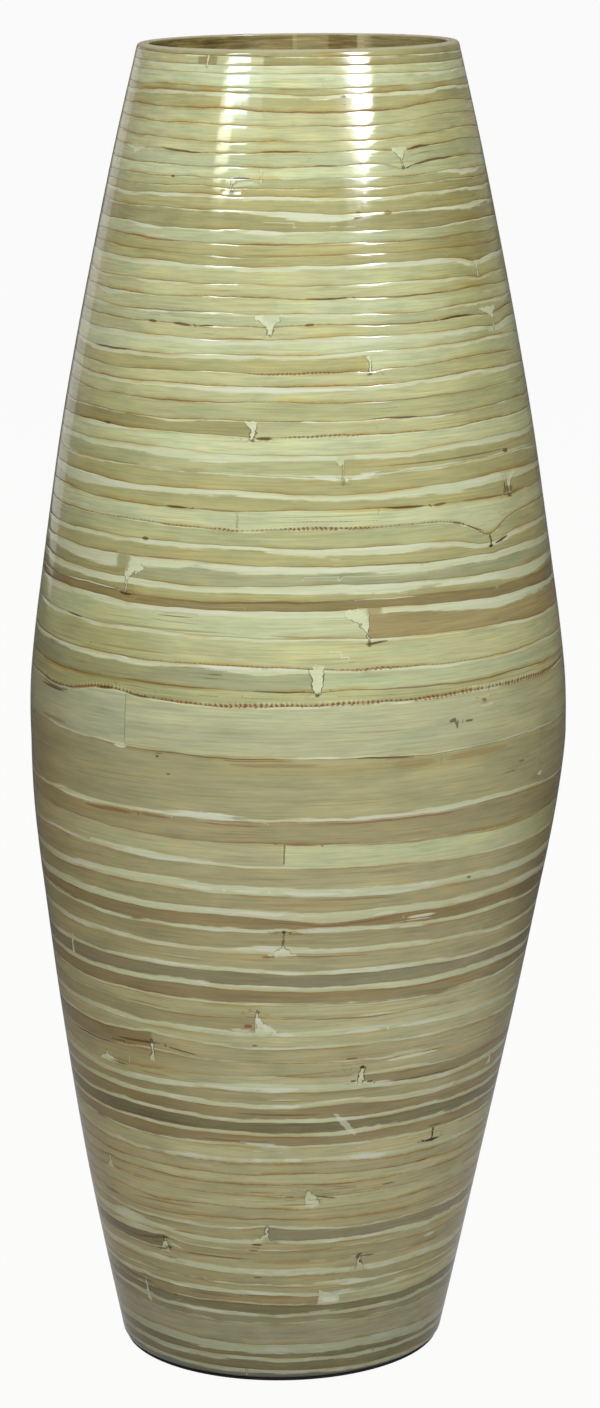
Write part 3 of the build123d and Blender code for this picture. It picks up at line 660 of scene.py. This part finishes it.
def withKnots(on, colour, flesh):  # a crack that opens into the cream, a scar beside it, a burnt tip
    side, up = (on.across + on.ragged + on.bend).size(), on.rise + on.raggedUp
    within, real = up.step(0.0, 0.06) * (1 - up.step(0.97, 1.06)), on.narrow.step(0.05, 0.25)
    half = (on.narrow + on.flare * (up - on.knee).step(-0.4, 0.25)) * (0.45 + on.swell * 1.1)
    opened = (half - side).step(-0.15, 0.35) * within * real
    colour = opened.mix(colour, flesh.shade(1.06 + 0.4 * on.streaks))

    scarX, scarY = (on.across - on.scarPlace + on.ragged * 1.2) / 5.2, (up - 1.0 + on.raggedUp) * 2.4
    scar = (1 - (scarX * scarX + scarY * scarY)).step(-0.2, 0.6) * on.scar.top(0.0)
    colour = (scar * 0.85).mix(colour, on.skinTone.shade(0.95 + 0.6 * on.streaks))
    rim = (0.5 - (side - half).size()).step(0.0, 0.45) * within * (1.0 - up.step(0.6, 1.1)) * real
    colour = (rim * (0.25 + on.dark) * 0.7).mix(colour, linear("umberDark"))

    butt = (0.0 - on.scar).top(0.0)
    crack = (0.2 + 0.5 * butt - (on.across + on.ragged * 0.15).size()).step(0.0, 0.4) * butt * within
    colour = (crack * (0.5 + 0.5 * on.dots)).mix(colour, linear("burnt"))

    wing = (0.55 - ((up + on.raggedUp - 0.01 - 0.008 * on.across.size()) * 8).size()).step(0.0, 0.5)
    wing = wing * (1 - on.across.size() / 15).step(0.0, 0.9) * (on.dark - 0.2).top(0.0)
    colour = (wing * on.presence.step(0.42, 0.56) * 0.7).mix(colour, linear("umberDark"))
    tipX, tipY = (on.across + on.ragged) / (0.5 + 1.1 * on.dark), (up - 0.02) / 0.11
    tip = (1 - (tipX * tipX + tipY * tipY)).step(-0.1, 0.9) * on.dark
    return (tip * 0.75).mix(colour, linear("burnt")), opened, tip


def withMarks(start, on, colour):  # listed marks: pale and chalky patches, rust and burnt strokes, and two painted highlights among the cream spots
    x, y, beaded = start.attribute("mark").parts()
    reach = (1.0 - x * x - y * y + on.fray * 0.9 + on.streaks * 2.0).step(0.0, 0.5)
    share = reach * (1.0 - beaded * (1.0 - on.beads) * 0.85) * start.attribute("markTone", 3)
    return share.mix(colour, start.attribute("markTone", 0))


def bambooMaterial():  # lacquered: the outer face of every strip and belly hoop
    material, start, shader = newMaterial("lacqueredBamboo", Metallic=0.0, IOR=bamboo["ior"])
    on = LathSignals(start)
    flesh = fleshColour(on)
    colour = withCreamEdges(on, skinColour(on), flesh)
    colour = withStainsAndEdgeShade(on, withBrownLine(on, colour))
    colour, opened, tip = withKnots(on, colour, flesh)
    colour = withMarks(start, on, colour)
    lip = (on.height - (wall["height"] - bamboo["lip"])).step(0.0, bamboo["lipFade"])
    colour = (lip * bamboo["lipShare"]).mix(colour, linear("lip"))
    # the wall's lowest two millimetres go black: partly the foot's black-dipped edge, partly painted
    # contact shadow
    footBlackAndShadow = (bamboo["footBlackAndShadow"] - on.height).step(0.0, bamboo["footBlackAndShadowFade"])
    colour = (footBlackAndShadow * bamboo["footBlackAndShadowShare"]).mix(colour, linear("black"))
    plug(colour, shader, "Base Color")
    rough = bamboo["gloss"] + bamboo["grainGloss"] * (on.streaks + 0.5) + bamboo["glueGloss"] * on.glue
    plug(rough, shader, "Roughness")
    relief = on.fibres * 0.7 + on.streaks * 1.6 - opened * 0.5 - tip
    plugBump(start, shader, bamboo["bump"], bamboo["fibreRelief"], relief)
    return material


inside = {"ior": 1.5, "gloss": 0.16, "fibreGloss": 0.2, "bump": 0.4, "relief": 0.05 * mm,
          "lip": 1.2, "lipFade": 0.9, "lipShare": 0.9}


def insideMaterial():  # the thin hoop in the mouth and the wall behind it: dark, glossy, blotched
    material, start, shader = newMaterial("darkInside", Metallic=0.0, IOR=inside["ior"])
    lath = start.node("UVMap", {"uv_map": "lath"})
    fibres = lath.stretch(26, 700).noise(4.0, 0.7)
    blotches = lath.stretch(22, 110).noise(3.0, 0.6)
    share = blotches.step(0.4, 0.6) * 0.6 + fibres.step(0.42, 0.58) * 0.5
    tone = share.mix(linear("insideDark"), linear("inside"))
    pale = start.attribute("pale", 2) * (0.4 + blotches * 1.0)
    colour = pale.mix(tone, linear("insideLight")).shade(0.5 + 1.0 * fibres)
    lip = (start.height() - (wall["height"] - inside["lip"])).step(0.0, inside["lipFade"])
    colour = (lip * inside["lipShare"]).mix(colour, linear("lip"))
    plug(colour, shader, "Base Color")
    plug(inside["gloss"] + inside["fibreGloss"] * fibres, shader, "Roughness")
    plugBump(start, shader, inside["bump"], inside["relief"], fibres)
    return material


bambooFace = bambooMaterial()
insideFace = insideMaterial()
print("bamboo finishes made")

# A lath is modelled once and copied, and each copy is wound on to the wall
lath = {
    "cuts": 9, "rounds": 3, "rows": (0.0, 0.05, 0.14, 0.32, 0.5, 0.68, 0.86, 0.95, 1.0),
    "innerRows": (1.0, 0.5, 0.0), "groove": 0.06, "grooveWidth": 0.22, "crown": 0.01,
    "knotRise": (-0.2, 0.1), "knotFall": (0.9, 1.2), "ridge": 0.2, "ridgeAside": 3.4,
    "ridgeWidth": 1.8, "crackSunk": 0.1, "crackWidth": 0.7, "scarLean": 3, "scarAside": 3,
    "smoothAngle": math.radians(40), "flat": 1e-6,
}
around = 115.0  # radius that sets how far apart the fibres' marks lie along a strip
# How far a strip looks for the closest bamboo node, mark, joint and lens, in millimetres and degrees
reaches = {"knot": 22.0, "knotUp": 2, "mark": 3.6, "markUp": 6, "markRound": 4, "joint": 3.4, "lens": 3.2}
faraway = {"across": 99.0, "rise": 9.0, "joint": 1e3}  # what it reads where none of them is close


def deselectAll():
    for item in list(bpy.context.selected_objects):
        item.select_set(False)


def smoothOver(piece):
    piece.select_set(True)
    bpy.context.view_layer.objects.active = piece
    bpy.ops.object.shade_smooth_by_angle(angle=lath["smoothAngle"])


def makeLath(name, sides):  # a prism along Z, divided into short lengths like a split before winding
    deselectAll()
    bpy.ops.mesh.primitive_cylinder_add(vertices=sides, radius=1, depth=1, location=(0, 0, 0.5),
                                        end_fill_type="NGON")
    blank = bpy.context.active_object
    blank.name = name
    bpy.ops.object.transform_apply(location=True, rotation=True, scale=True)
    bpy.context.tool_settings.mesh_select_mode = (False, True, False)
    for _ in range(lath["rounds"]):
        mesh = blank.data
        for vertex in mesh.vertices:
            vertex.select = False
        for face in mesh.polygons:
            face.select = False
        for edge in mesh.edges:
            a, b = (mesh.vertices[k].co for k in edge.vertices)
            edge.select = abs(a.z - b.z) > lath["flat"]
        bpy.ops.object.mode_set(mode="EDIT")
        bpy.ops.mesh.subdivide(number_cuts=lath["cuts"])
        bpy.ops.object.mode_set(mode="OBJECT")
    places = np.empty(len(blank.data.vertices) * 3)
    blank.data.vertices.foreach_get("co", places)
    places = places.reshape(-1, 3)
    columns = (lath["cuts"] + 1) ** lath["rounds"]
    column = np.rint(places[:, 2] * columns).astype(int)
    angle = np.arctan2(-places[:, 0], places[:, 1]) / (2 * math.pi) * sides
    side = np.rint(angle).astype(int) % sides
    return {"object": blank, "column": column, "side": side, "columns": columns}


def nearestKnot(phi, z):  # place across and along the closest bamboo node, and its form
    radius = curveAt(outline, z)
    best = np.full(z.shape, reaches["knot"])
    across, rise = np.full(z.shape, faraway["across"]), np.full(z.shape, faraway["rise"])
    form = np.zeros(z.shape + (6,))
    for at, tip, mouth, narrow, left, right, scar, dark, knee in knotTable:
        x = np.radians((phi - at + 180) % 360 - 180) * radius
        y = np.maximum(np.maximum(min(tip, mouth) - z, z - max(tip, mouth)), 0)
        gap = np.hypot(x, reaches["knotUp"] * y)
        near = gap < best
        best = np.where(near, gap, best)
        across = np.where(near, x, across)
        rise = np.where(near, (z - tip) / (mouth - tip), rise)
        flare = np.where(x < 0, left, right)
        aside = (left - right) / lath["scarLean"]  # the scar sits on the side that flares less
        aside = np.clip(aside, -lath["scarAside"], lath["scarAside"])
        form[near] = np.stack(np.broadcast_arrays(narrow, flare, scar, dark, knee, aside), axis=-1)[near]
    return across, rise, form


def stainAndEdgeShadeAt(phi, z):
    total = np.zeros(z.shape)
    for at, height, wide, up, strength in stainsAndEdgeShade:
        total += strength * bell((phi - at) / wide) * bell((z - height) / up)
    return total


def jointNear(x, turn, mark, low, high):  # the joint that a mark follows, chosen once in each round
    at, height, wide = mark
    edge = np.full(x.shape, faraway["joint"])
    rounds = np.where(np.abs(x) < wide + reaches["markRound"], np.rint(turn + at / 360), -1)
    for once in np.unique(rounds[rounds >= 0]):
        here = np.flatnonzero(rounds == once)
        middle = here[np.argmin(np.abs(x[here]))]
        joint = min((low, high), key=lambda side: abs(side[middle] - height))
        if abs(joint[middle] - height) < reaches["joint"]:
            edge[here] = joint[here]
    return edge


def markAt(turn, phi, z, low, high):  # place inside the closest hand-placed mark, and its tone
    place, tone = np.full(z.shape + (3,), faraway["across"]), np.zeros(z.shape + (4,))
    best = np.full(z.shape, reaches["mark"])
    perDegree = np.radians(curveAt(outline, z))
    for followsJoint, beaded, colour, at, height, wide, up, rise, strength in markList:
        if z.min() - reaches["markUp"] < height < z.max() + reaches["markUp"]:
            x = (phi - at + 180) % 360 - 180
            y = z - height - rise * x
            if followsJoint:
                y = z - jointNear(x, turn, (at, height, wide), low, high) - rise
            gap = np.hypot(np.maximum((np.abs(x) - wide) * perDegree, 0), np.maximum(np.abs(y) - up, 0))
            near = gap < best
            best = np.where(near, gap, best)
            place[near] = np.stack((x / wide, y / up, np.full(z.shape, float(beaded))), axis=-1)[near]
            tone[near] = (*colour, strength)
    return place, tone


def relief(share, toLow, toHigh, across, rise, form):  # how deep the face lies below the outline
    edge = np.minimum(toLow, toHigh)
    depth = lath["groove"] * np.exp(-edge / lath["grooveWidth"]) + lath["crown"] * (2 * share - 1) ** 2
    live = ease(rise, *lath["knotRise"]) * (1 - ease(rise, *lath["knotFall"])) * (form[..., 0] > 0)
    depth = depth + live * lath["ridge"] * bell((np.abs(across) - lath["ridgeAside"]) / lath["ridgeWidth"])
    return depth + live * lath["crackSunk"] * bell(across / lath["crackWidth"])


def frontLens(phi, low, high, top):
    extra = np.zeros((len(phi), 2))
    for at, height, wide, more in lensTable:
        if (height > wall["belly"]) == top:
            edge = high if top else low
            swell = more * bell((phi - at) / wide) * (np.abs(edge - height) < reaches["lens"])
            extra[:, 1 if top else 0] += swell
    return extra


def setAttribute(mesh, name, values, kind="FLOAT_VECTOR", field="vector"):
    layer = mesh.attributes.new(name, kind, "POINT")
    layer.data.foreach_set(field, np.ascontiguousarray(values, np.float32).ravel())


def unroll(mesh, turn, height):  # the lath's UV map: metres along it and up it
    layer = mesh.uv_layers.new(name="lath")
    loops = np.empty(len(mesh.loops), int)
    mesh.loops.foreach_get("vertex_index", loops)
    uv = np.stack((turn * 2 * math.pi * around * mm, height * mm), axis=-1)
    layer.data.foreach_set("uv", uv[loops].astype(np.float32).ravel())


def turnsBetween(start, end, radius, columns):  # places along a strip, with half a butt gap off each end
    gap = wall["butt"] / (4 * math.pi * radius)
    return np.linspace(start + gap, end - gap, columns + 1)


def gluedEdges(turns, low, high):  # both joints where they have wandered to, with half a glue line off
    return (low + wander(turns, low) + wall["glue"] / 2, high + wander(turns, high) - wall["glue"] / 2)


def windOn(blank, name, node, turns, low, high, rows, innerRows, bands, skins):
    # low and high are the strip's edges on the outer face at each column, already wandering
    deselectAll()
    piece = blank["object"].copy()
    piece.data = blank["object"].data.copy()
    piece.name = piece.data.name = name
    bpy.context.scene.collection.objects.link(piece)
    column, side = blank["column"], blank["side"]
    outerSide = side < len(rows)
    shares = np.array([*rows, *innerRows])[side]

    turn = turns[column]
    lowZ, highZ = low[column], high[column]
    z = lowZ + shares * (highZ - lowZ)
    phi = seenAngle(turn, z)
    toLow, toHigh = z - lowZ, highZ - z
    across, rise, form = nearestKnot(phi, z)
    outerDepth = relief(shares, toLow, toHigh, across, rise, form)
    top, foot = wall["height"], wall["sheet"]
    for start, radius in ((top - z, wall["rimRound"]), (z - foot, wall["footRound"])):
        left = np.clip(radius - start, 0, radius)
        outerDepth = outerDepth + radius - np.sqrt(radius ** 2 - left ** 2)
    innerZ = z + lineAt(laps, np.clip(z, foot, top))
    depth = np.where(outerSide, outerDepth, wall["thick"])
    height = np.where(outerSide, z, innerZ)
    piece.data.vertices.foreach_set("co", wallPoint(turn, height, depth).ravel())

    mesh = piece.data
    unroll(mesh, turn, height)
    setAttribute(mesh, "edges", np.stack((toLow, toHigh, stainAndEdgeShadeAt(phi, z)), axis=-1))
    setAttribute(mesh, "bands", bands[column])
    setAttribute(mesh, "knot", np.stack((across, rise, form[:, 3]), axis=-1))
    setAttribute(mesh, "knotForm", form[:, :3])
    setAttribute(mesh, "knee", form[:, 4], "FLOAT", "value")
    setAttribute(mesh, "scarPlace", form[:, 5], "FLOAT", "value")
    place, tone = markAt(turn, phi, z, lowZ, highZ)
    setAttribute(mesh, "mark", place)
    setAttribute(mesh, "markTone", tone, "FLOAT_COLOR", "color")
    setAttribute(mesh, "skinTone", np.hstack((skins[column], np.ones((len(column), 1)))),
                 "FLOAT_COLOR", "color")

    mesh.materials.clear()
    mesh.materials.append(bambooFace)
    mesh.materials.append(insideFace)
    inner = ~outerSide
    for face in mesh.polygons:
        face.material_index = 1 if all(inner[k] for k in face.vertices) else 0
    smoothOver(piece)
    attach(piece, "root")
    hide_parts(node)


def coursePaint(winding, turns, low, high, top):  # cream widths, brown line and skin along a strip
    fronts, backs = winding["fronts"], winding["backs"]
    near = np.clip(np.rint(turns).astype(int), 0, len(fronts) - 1)
    far = np.clip(np.floor(turns).astype(int), 0, len(backs) - 1)
    share = ease(np.abs(turns - np.rint(turns)), back["from"], back["to"])[:, None]
    bands = fronts[near] * (1 - share) + backs[far] * share
    phi = seenAngle(turns, (low + high) / 2)
    bands[:, :2] += frontLens(phi, low, high, top)
    seenTurns = turns + (fromFront(turns) - phi) / 360
    index = np.searchsorted(winding["changeTurns"], seenTurns, side="right") - 1
    skins = winding["changeTones"][np.clip(index, 0, None)]
    # painted light and shade on the skins, in part the bamboo's own uneven darkening
    for at, height, wide, up, share in unevenToneAndPaintedLight:
        amount = share * bell((phi - at) / wide) * bell((low - height) / up)
        skins = skins * (1 + amount[:, None] * brownShare)
    return bands, skins


def windStrips(blank, half):
    winding = windings[half]
    joints, steps, thinnest = winding["heights"], wall["stepsPerTurn"], wall["thinnestEnd"]
    grid = np.arange(-steps, (len(joints) - 1) * steps + 1)
    runs = [k for k in grid if curveAt(joints, k / steps + 1) - winding["bottom"] > thinnest
            and winding["top"] - curveAt(joints, k / steps) > thinnest]
    count = winding["strips"]
    ends = [runs[0] + round(n * (len(runs) - 1) / count) for n in range(count + 1)]
    for n in range(count):
        turns = turnsBetween(ends[n] / steps, ends[n + 1] / steps, wall["bellyRadius"], blank["columns"])
        low, high = gluedEdges(turns, curveAt(joints, turns), curveAt(joints, turns + 1))
        bands, skins = coursePaint(winding, turns, low, high, half == "upper")
        windOn(blank, f"{half}Strip{n + 1:02d}", f"{half}_strip_{n + 1:02d}", turns, low, high,
               lath["rows"], lath["innerRows"], bands, skins)


plainLath = makeLath("plainLath", len(lath["rows"]) + len(lath["innerRows"]))
windStrips(plainLath, "lower")
print("lower strips wound")
windStrips(plainLath, "upper")
print("upper strips wound")

# The two wide hoops of the belly: cream at the low and high edge, strength of the brown line, and
# the skin's tones by degrees from the front
hoops = {
    "lower": {"low": wall["lowerTop"], "high": wall["bellyJoint"], "joint": 0.829,
              "bands": (1.8, 0.0, 0.5),
              "skins": [(-180, "reed"), (-25, "reed"), (5, "reedPale"), (35, "reedPale"), (62, "reed"),
                        (180, "reed")]},
    "upper": {"low": wall["bellyJoint"], "high": wall["upperBottom"], "joint": 0.106,
              "bands": (0.8, 0.9, 0.2),
              "skins": [(-180, "ash"), (-70, "ashGrey"), (-38.3, "ashGrey"), (-38, "ash"), (30, "ash"),
                        (62, "ashWarm"), (180, "ash")]},
}
hoopRows = (0.0, 0.013, 0.045, 0.1, 0.2, 0.3, 0.4, 0.5, 0.6, 0.7, 0.8, 0.9, 0.955, 0.987, 1.0)
hoopInnerRows = (1.0, 0.75, 0.5, 0.25, 0.0)


def windHoop(blank, half):
    band = hoops[half]
    turns = turnsBetween(band["joint"], band["joint"] + 1, wall["bellyRadius"], blank["columns"])
    low, high = gluedEdges(turns, *(np.full(len(turns), band[end]) for end in ("low", "high")))
    bands = np.tile(band["bands"], (len(turns), 1)).astype(float)
    bands[:, :2] += frontLens(seenAngle(turns, low), low, high, False)
    places = [place for place, tone in band["skins"]]
    shades = np.array([linear(tone) for place, tone in band["skins"]]).T
    skins = np.stack([np.interp(fromFront(turns), places, shade) for shade in shades], axis=-1)
    windOn(blank, f"{half}BellyHoop", f"belly_hoop_{half}", turns, low, high, hoopRows,
           hoopInnerRows, bands, skins)


wideLath = makeLath("wideLath", len(hoopRows) + len(hoopInnerRows))
for half in hoops:
    windHoop(wideLath, half)
print("belly hoops wound")

for blank in (plainLath, wideLath):
    bpy.data.objects.remove(blank["object"])

# The thin hoop that lines the mouth; the numbers with Up and In ease the edges of its section
mouth = {"height": 30.0, "wall": 1.8, "fit": 0.15, "joint": 0.58, "round": 1.1, "arc": (0.12, 0.45),
         "backUp": 0.4, "backIn": 0.25, "faceRows": (6, 14), "footUp": 1, "footIn": 0.6, "sides": 12}
# How pale the mouth hoop's inner face is, by millimetres to the right: it was patched from offcuts
mouthPale = [(-83, 0.15), (-45, 0.1), (-34, 0.2), (-24, 0.4), (-16, 0.45), (-10, 0.3), (0, 0.3),
             (0.5, 0.75), (2.5, 0.75), (3, 0.5), (16, 0.5), (20.5, 0.45), (21, 0.15), (36.5, 0.2),
             (37, 1.0), (42, 0.9), (46, 0.45), (60, 0.4), (83, 0.5)]


def mouthHoop():
    blank = makeLath("mouthLath", mouth["sides"])
    piece, column, side = blank["object"], blank["column"], blank["side"]
    piece.name = piece.data.name = "mouthHoop"
    top, low = wall["height"], wall["height"] - mouth["height"]
    outer = wall["thick"] + mouth["fit"]
    face, r = outer + mouth["wall"], mouth["round"]
    slight, strong = (share * r for share in mouth["arc"])
    section = [  # height and depth of each of its corners, from the low outer one round by the rim
        (low, outer), (low + mouth["height"] / 2, outer), (top - mouth["backUp"], outer),
        (top, outer + mouth["backIn"]), (top, face - r), (top - slight, face - strong),
        (top - strong, face - slight), (top - r, face), *((top - down, face) for down in mouth["faceRows"]),
        (low + mouth["footUp"], face), (low, face - mouth["footIn"])]
    heights, depths = np.array(section, float).T
    turns = turnsBetween(mouth["joint"], mouth["joint"] + 1, wall["mouthRadius"], blank["columns"])
    turn, z, depth = turns[column], heights[side], depths[side]
    piece.data.vertices.foreach_set("co", wallPoint(turn, z, depth).ravel())
    unroll(piece.data, turn, z)
    across = -curveAt(outline, z) * np.sin(2 * math.pi * turn)
    setAttribute(piece.data, "pale", lineAt(mouthPale, across), "FLOAT", "value")
    piece.data.materials.append(insideFace)
    deselectAll()
    smoothOver(piece)
    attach(piece, "root")
    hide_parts("mouth_hoop")


mouthHoop()
print("mouth hoop made")

# The board that closes the foot, and the thin sheet under it
base = {"board": 9.0, "fit": 0.2, "inset": 1.0, "sides": 180, "soften": 0.35, "segments": 2,
        "softenAngle": math.radians(50)}


def disc(name, node, low, high, inset, tapered, material):  # a turned disc, its edge softened
    deselectAll()
    upper = high if tapered else low  # a tapered edge follows the wall's slope and lean
    lowRadius, highRadius = ((curveAt(outline, z) - inset) * mm for z in (low, upper))
    middle = (low + high) / 2 * mm
    bpy.ops.mesh.primitive_cylinder_add(vertices=base["sides"], radius=lowRadius,
                                        depth=(high - low) * mm, end_fill_type="NGON",
                                        location=(curveAt(lean, low) * mm, 0, middle))
    piece = bpy.context.active_object
    piece.name = piece.data.name = name
    bpy.ops.object.transform_apply(location=True, rotation=True, scale=True)
    mesh = piece.data
    bpy.context.tool_settings.mesh_select_mode = (True, False, False)
    bpy.ops.object.mode_set(mode="EDIT")
    bpy.ops.mesh.select_all(action="DESELECT")
    bpy.ops.object.mode_set(mode="OBJECT")
    for vertex in mesh.vertices:
        vertex.select = vertex.co.z > middle
    bpy.ops.object.mode_set(mode="EDIT")
    slide = (curveAt(lean, upper) - curveAt(lean, low)) * mm
    bpy.ops.transform.resize(value=(highRadius / lowRadius, highRadius / lowRadius, 1),
                             center_override=(curveAt(lean, low) * mm, 0, high * mm))
    bpy.ops.transform.translate(value=(slide, 0, 0))
    bpy.ops.mesh.select_all(action="SELECT")
    bpy.ops.mesh.normals_make_consistent(inside=False)
    bpy.ops.object.mode_set(mode="OBJECT")
    rounding = piece.modifiers.new("softEdge", "BEVEL")
    rounding.width, rounding.segments = base["soften"] * mm, base["segments"]
    rounding.limit_method, rounding.angle_limit = "ANGLE", base["softenAngle"]
    bpy.ops.object.modifier_apply(modifier=rounding.name)
    piece.data.materials.append(material)
    smoothOver(piece)
    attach(piece, "root")
    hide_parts(node)


board = {"ior": 1.45, "rough": 0.7, "fleckRough": 0.15, "bump": 0.5, "relief": 0.1 * mm, "plies": 3.2}


def boardMaterial():
    material, start, shader = newMaterial("fibreboard", Metallic=0.0, IOR=board["ior"])
    place = start.node("TexCoord", (), (), "Object")
    flecks = place.stretch(900, 500, 900).noise(3.0, 0.6)
    clouds = place.stretch(40, 40, 40).noise(2.0)
    plies = (start.height() * board["plies"]).math("SINE").step(-0.2, 0.2)
    tone = flecks.step(0.35, 0.7).mix(linear("boardDark"), linear("board"))
    plug(tone.shade(0.8 + 0.35 * clouds + 0.08 * plies), shader, "Base Color")
    plug(board["rough"] + board["fleckRough"] * flecks, shader, "Roughness")
    plugBump(start, shader, board["bump"], board["relief"], flecks)
    return material


sheet = {"ior": 1.45, "rough": 0.75, "feltRough": 0.15, "bump": 0.5, "relief": 0.08 * mm}


def sheetMaterial():
    material, start, shader = newMaterial("blackSheet", Metallic=0.0, IOR=sheet["ior"])
    place = start.node("TexCoord", (), (), "Object")
    felt = place.stretch(1500, 1500, 1500).noise(3.0, 0.7)
    scuffs = place.stretch(30, 70, 30).noise(2.0).step(0.55, 0.75)
    colour = (scuffs * 0.25).mix(linear("black"), linear("boardDark")).shade(0.7 + 0.6 * felt)
    plug(colour, shader, "Base Color")
    plug(sheet["rough"] + sheet["feltRough"] * felt, shader, "Roughness")
    plugBump(start, shader, sheet["bump"], sheet["relief"], felt)
    return material


disc("baseBoard", "base_board", wall["sheet"], wall["sheet"] + base["board"],
     wall["thick"] + base["fit"], True, boardMaterial())
disc("baseSheet", "base_sheet", 0.0, wall["sheet"], base["inset"], False, sheetMaterial())
print("base made")

# The floor, and how bright it and the backdrop show: "glow" to the camera, "inLacquer" mirrored,
# where the floor fades by "fade" from "near" to "far" in metres from the vase
stage = {"size": 60.0, "drop": 0.2 * mm, "rough": 0.9, "glow": 0.95, "inLacquer": 0.37, "fade": 0.27,
         "near": 0.12, "far": 0.9}
sky = {"ambient": 0.2, "ambientColour": (1.0, 0.85, 0.72, 1), "inLacquer": 0.08}
white, unlit = (1, 1, 1, 1), (0, 0, 0, 1)

deselectAll()
bpy.ops.mesh.primitive_plane_add(size=stage["size"], location=(0, 0, -stage["drop"]))
floor = bpy.context.active_object
floor.name = "floor"
material, start, shader = newMaterial("palePaper", Roughness=stage["rough"], Metallic=0.0)
shader.inputs["Base Color"].default_value = (*linear("floor"), 1)
seen, mirrored, through = start.rays()
away = start.node("VectorMath", {"operation": "LENGTH"}, {0: start.node("TexCoord", (), (), "Object")}, 1)
level = stage["inLacquer"] - stage["fade"] * away.step(stage["near"], stage["far"])
share = (seen + through) * stage["glow"] + mirrored * level
glow = start.node("Emission", (), {"Color": white, "Strength": 1.0})
dark = start.node("Emission", (), {"Color": unlit, "Strength": 0.0})
body = Signal(material.node_tree, shader.outputs[0])
paper = start.node("MixShader", (), {0: mirrored, 1: body, 2: dark})
both = start.node("MixShader", (), {0: share, 1: paper, 2: glow})
plug(both, material.node_tree.nodes["Material Output"], "Surface")
floor.data.materials.append(material)

world = bpy.data.worlds.new("studio")
bpy.context.scene.world = world
world.use_nodes = True
air = Signal(world.node_tree)
seen, mirrored, through = air.rays()
share = seen + through + mirrored * sky["inLacquer"]
backdrop = air.node("Background", (), {"Color": white, "Strength": 1.0})
ambient = air.node("Background", (), {"Color": sky["ambientColour"], "Strength": sky["ambient"]})
mixed = air.node("MixShader", (), {0: share, 1: ambient, 2: backdrop})
plug(mixed, world.node_tree.nodes["World Output"], "Surface")

# Lamps round the vase, in degrees and metres: those with sheen only show in the lacquer, as the
# windows of a room do, and the others only light the wood
lampAim = 0.65  # height that they point at
lamps = {
    "leftWindow": {"azimuth": -48, "elevation": 18.8, "distance": 2.2, "width": 0.32, "height": 0.185,
                   "tilt": 0, "power": 1.9, "colour": (1.0, 1.0, 0.8), "sheen": True},
    "leftSky": {"azimuth": -42, "elevation": 24.6, "distance": 2.2, "width": 0.55, "height": 0.26,
                "tilt": 6, "power": 10, "colour": (0.72, 0.92, 1.0), "sheen": True},
    "leftHaze": {"azimuth": -37, "elevation": 24.2, "distance": 2.25, "width": 0.95, "height": 0.28,
                 "tilt": 4, "power": 2.6, "colour": (0.8, 0.95, 1.0), "sheen": True},
    "leftEdge": {"azimuth": -149, "elevation": -3, "distance": 2.2, "width": 0.75, "height": 0.69,
                 "tilt": 0, "power": 0.7, "colour": (1.0, 0.97, 0.98), "sheen": True},
    "leftVeil": {"azimuth": -145, "elevation": -2, "distance": 2.25, "width": 1.5, "height": 0.8,
                 "tilt": 0, "power": 0.5, "colour": (1.0, 0.97, 0.98), "sheen": True},
    "rightWindow": {"azimuth": 42.5, "elevation": 25, "distance": 2.2, "width": 0.46, "height": 0.6,
                    "tilt": 22, "power": 30, "colour": (0.92, 0.97, 1.0), "sheen": True},
    "rightCurtain": {"azimuth": 42, "elevation": 26, "distance": 2.3, "width": 0.8, "height": 0.64,
                     "tilt": 22, "power": 10, "colour": (1.0, 1.0, 1.0), "sheen": True},
    "rightGlow": {"azimuth": 41, "elevation": 26, "distance": 2.4, "width": 1.2, "height": 0.66,
                  "tilt": 20, "power": 6, "colour": (1.0, 1.0, 1.0), "sheen": True},
    "roomLight": {"azimuth": 2, "elevation": 38, "distance": 2.6, "width": 1.6, "height": 0.8,
                  "tilt": 0, "power": 61, "colour": (1.0, 1.0, 1.0), "sheen": False},
    "backLight": {"azimuth": 180, "elevation": 38, "distance": 2.6, "width": 1.4, "height": 0.8,
                  "tilt": 0, "power": 44, "colour": (1.0, 1.0, 1.0), "sheen": False},
}


def hangLamp(name, lamp):
    light = bpy.data.lights.new(name, "AREA")
    light.shape, light.size, light.size_y = "RECTANGLE", lamp["width"], lamp["height"]
    light.energy, light.color = lamp["power"], lamp["colour"]
    item = bpy.data.objects.new(name, light)
    azimuth, elevation = math.radians(lamp["azimuth"]), math.radians(lamp["elevation"])
    reach = lamp["distance"]
    place = (reach * math.cos(elevation) * math.sin(azimuth),
             -reach * math.cos(elevation) * math.cos(azimuth),
             lampAim + reach * math.sin(elevation))
    item.matrix_world = (Matrix.Translation(place) @ Matrix.Rotation(azimuth, 4, "Z")
                         @ Matrix.Rotation(math.pi / 2 - elevation, 4, "X")
                         @ Matrix.Rotation(math.radians(lamp["tilt"]), 4, "Z"))
    item.visible_camera = False
    item.visible_diffuse = not lamp["sheen"]
    item.visible_glossy = lamp["sheen"]
    bpy.context.scene.collection.objects.link(item)


for name, lamp in lamps.items():
    hangLamp(name, lamp)

view = {"lens": 70.67, "sensorHeight": 24.0, "place": (0.001, -2.166, 0.8152), "down": 12.13,
        "roll": -0.51, "farthest": 200}
lens = bpy.data.cameras.new("camera")
lens.sensor_fit, lens.sensor_height, lens.lens = "VERTICAL", view["sensorHeight"], view["lens"]
lens.clip_end = view["farthest"]
camera = bpy.data.objects.new("camera", lens)
camera.matrix_world = (Matrix.Translation(view["place"])
                       @ Matrix.Rotation(math.radians(90 - view["down"]), 4, "X")
                       @ Matrix.Rotation(math.radians(view["roll"]), 4, "Z"))
bpy.context.scene.collection.objects.link(camera)
bpy.context.scene.camera = camera
bpy.context.scene.view_settings.view_transform = "Standard"
print("stage set")
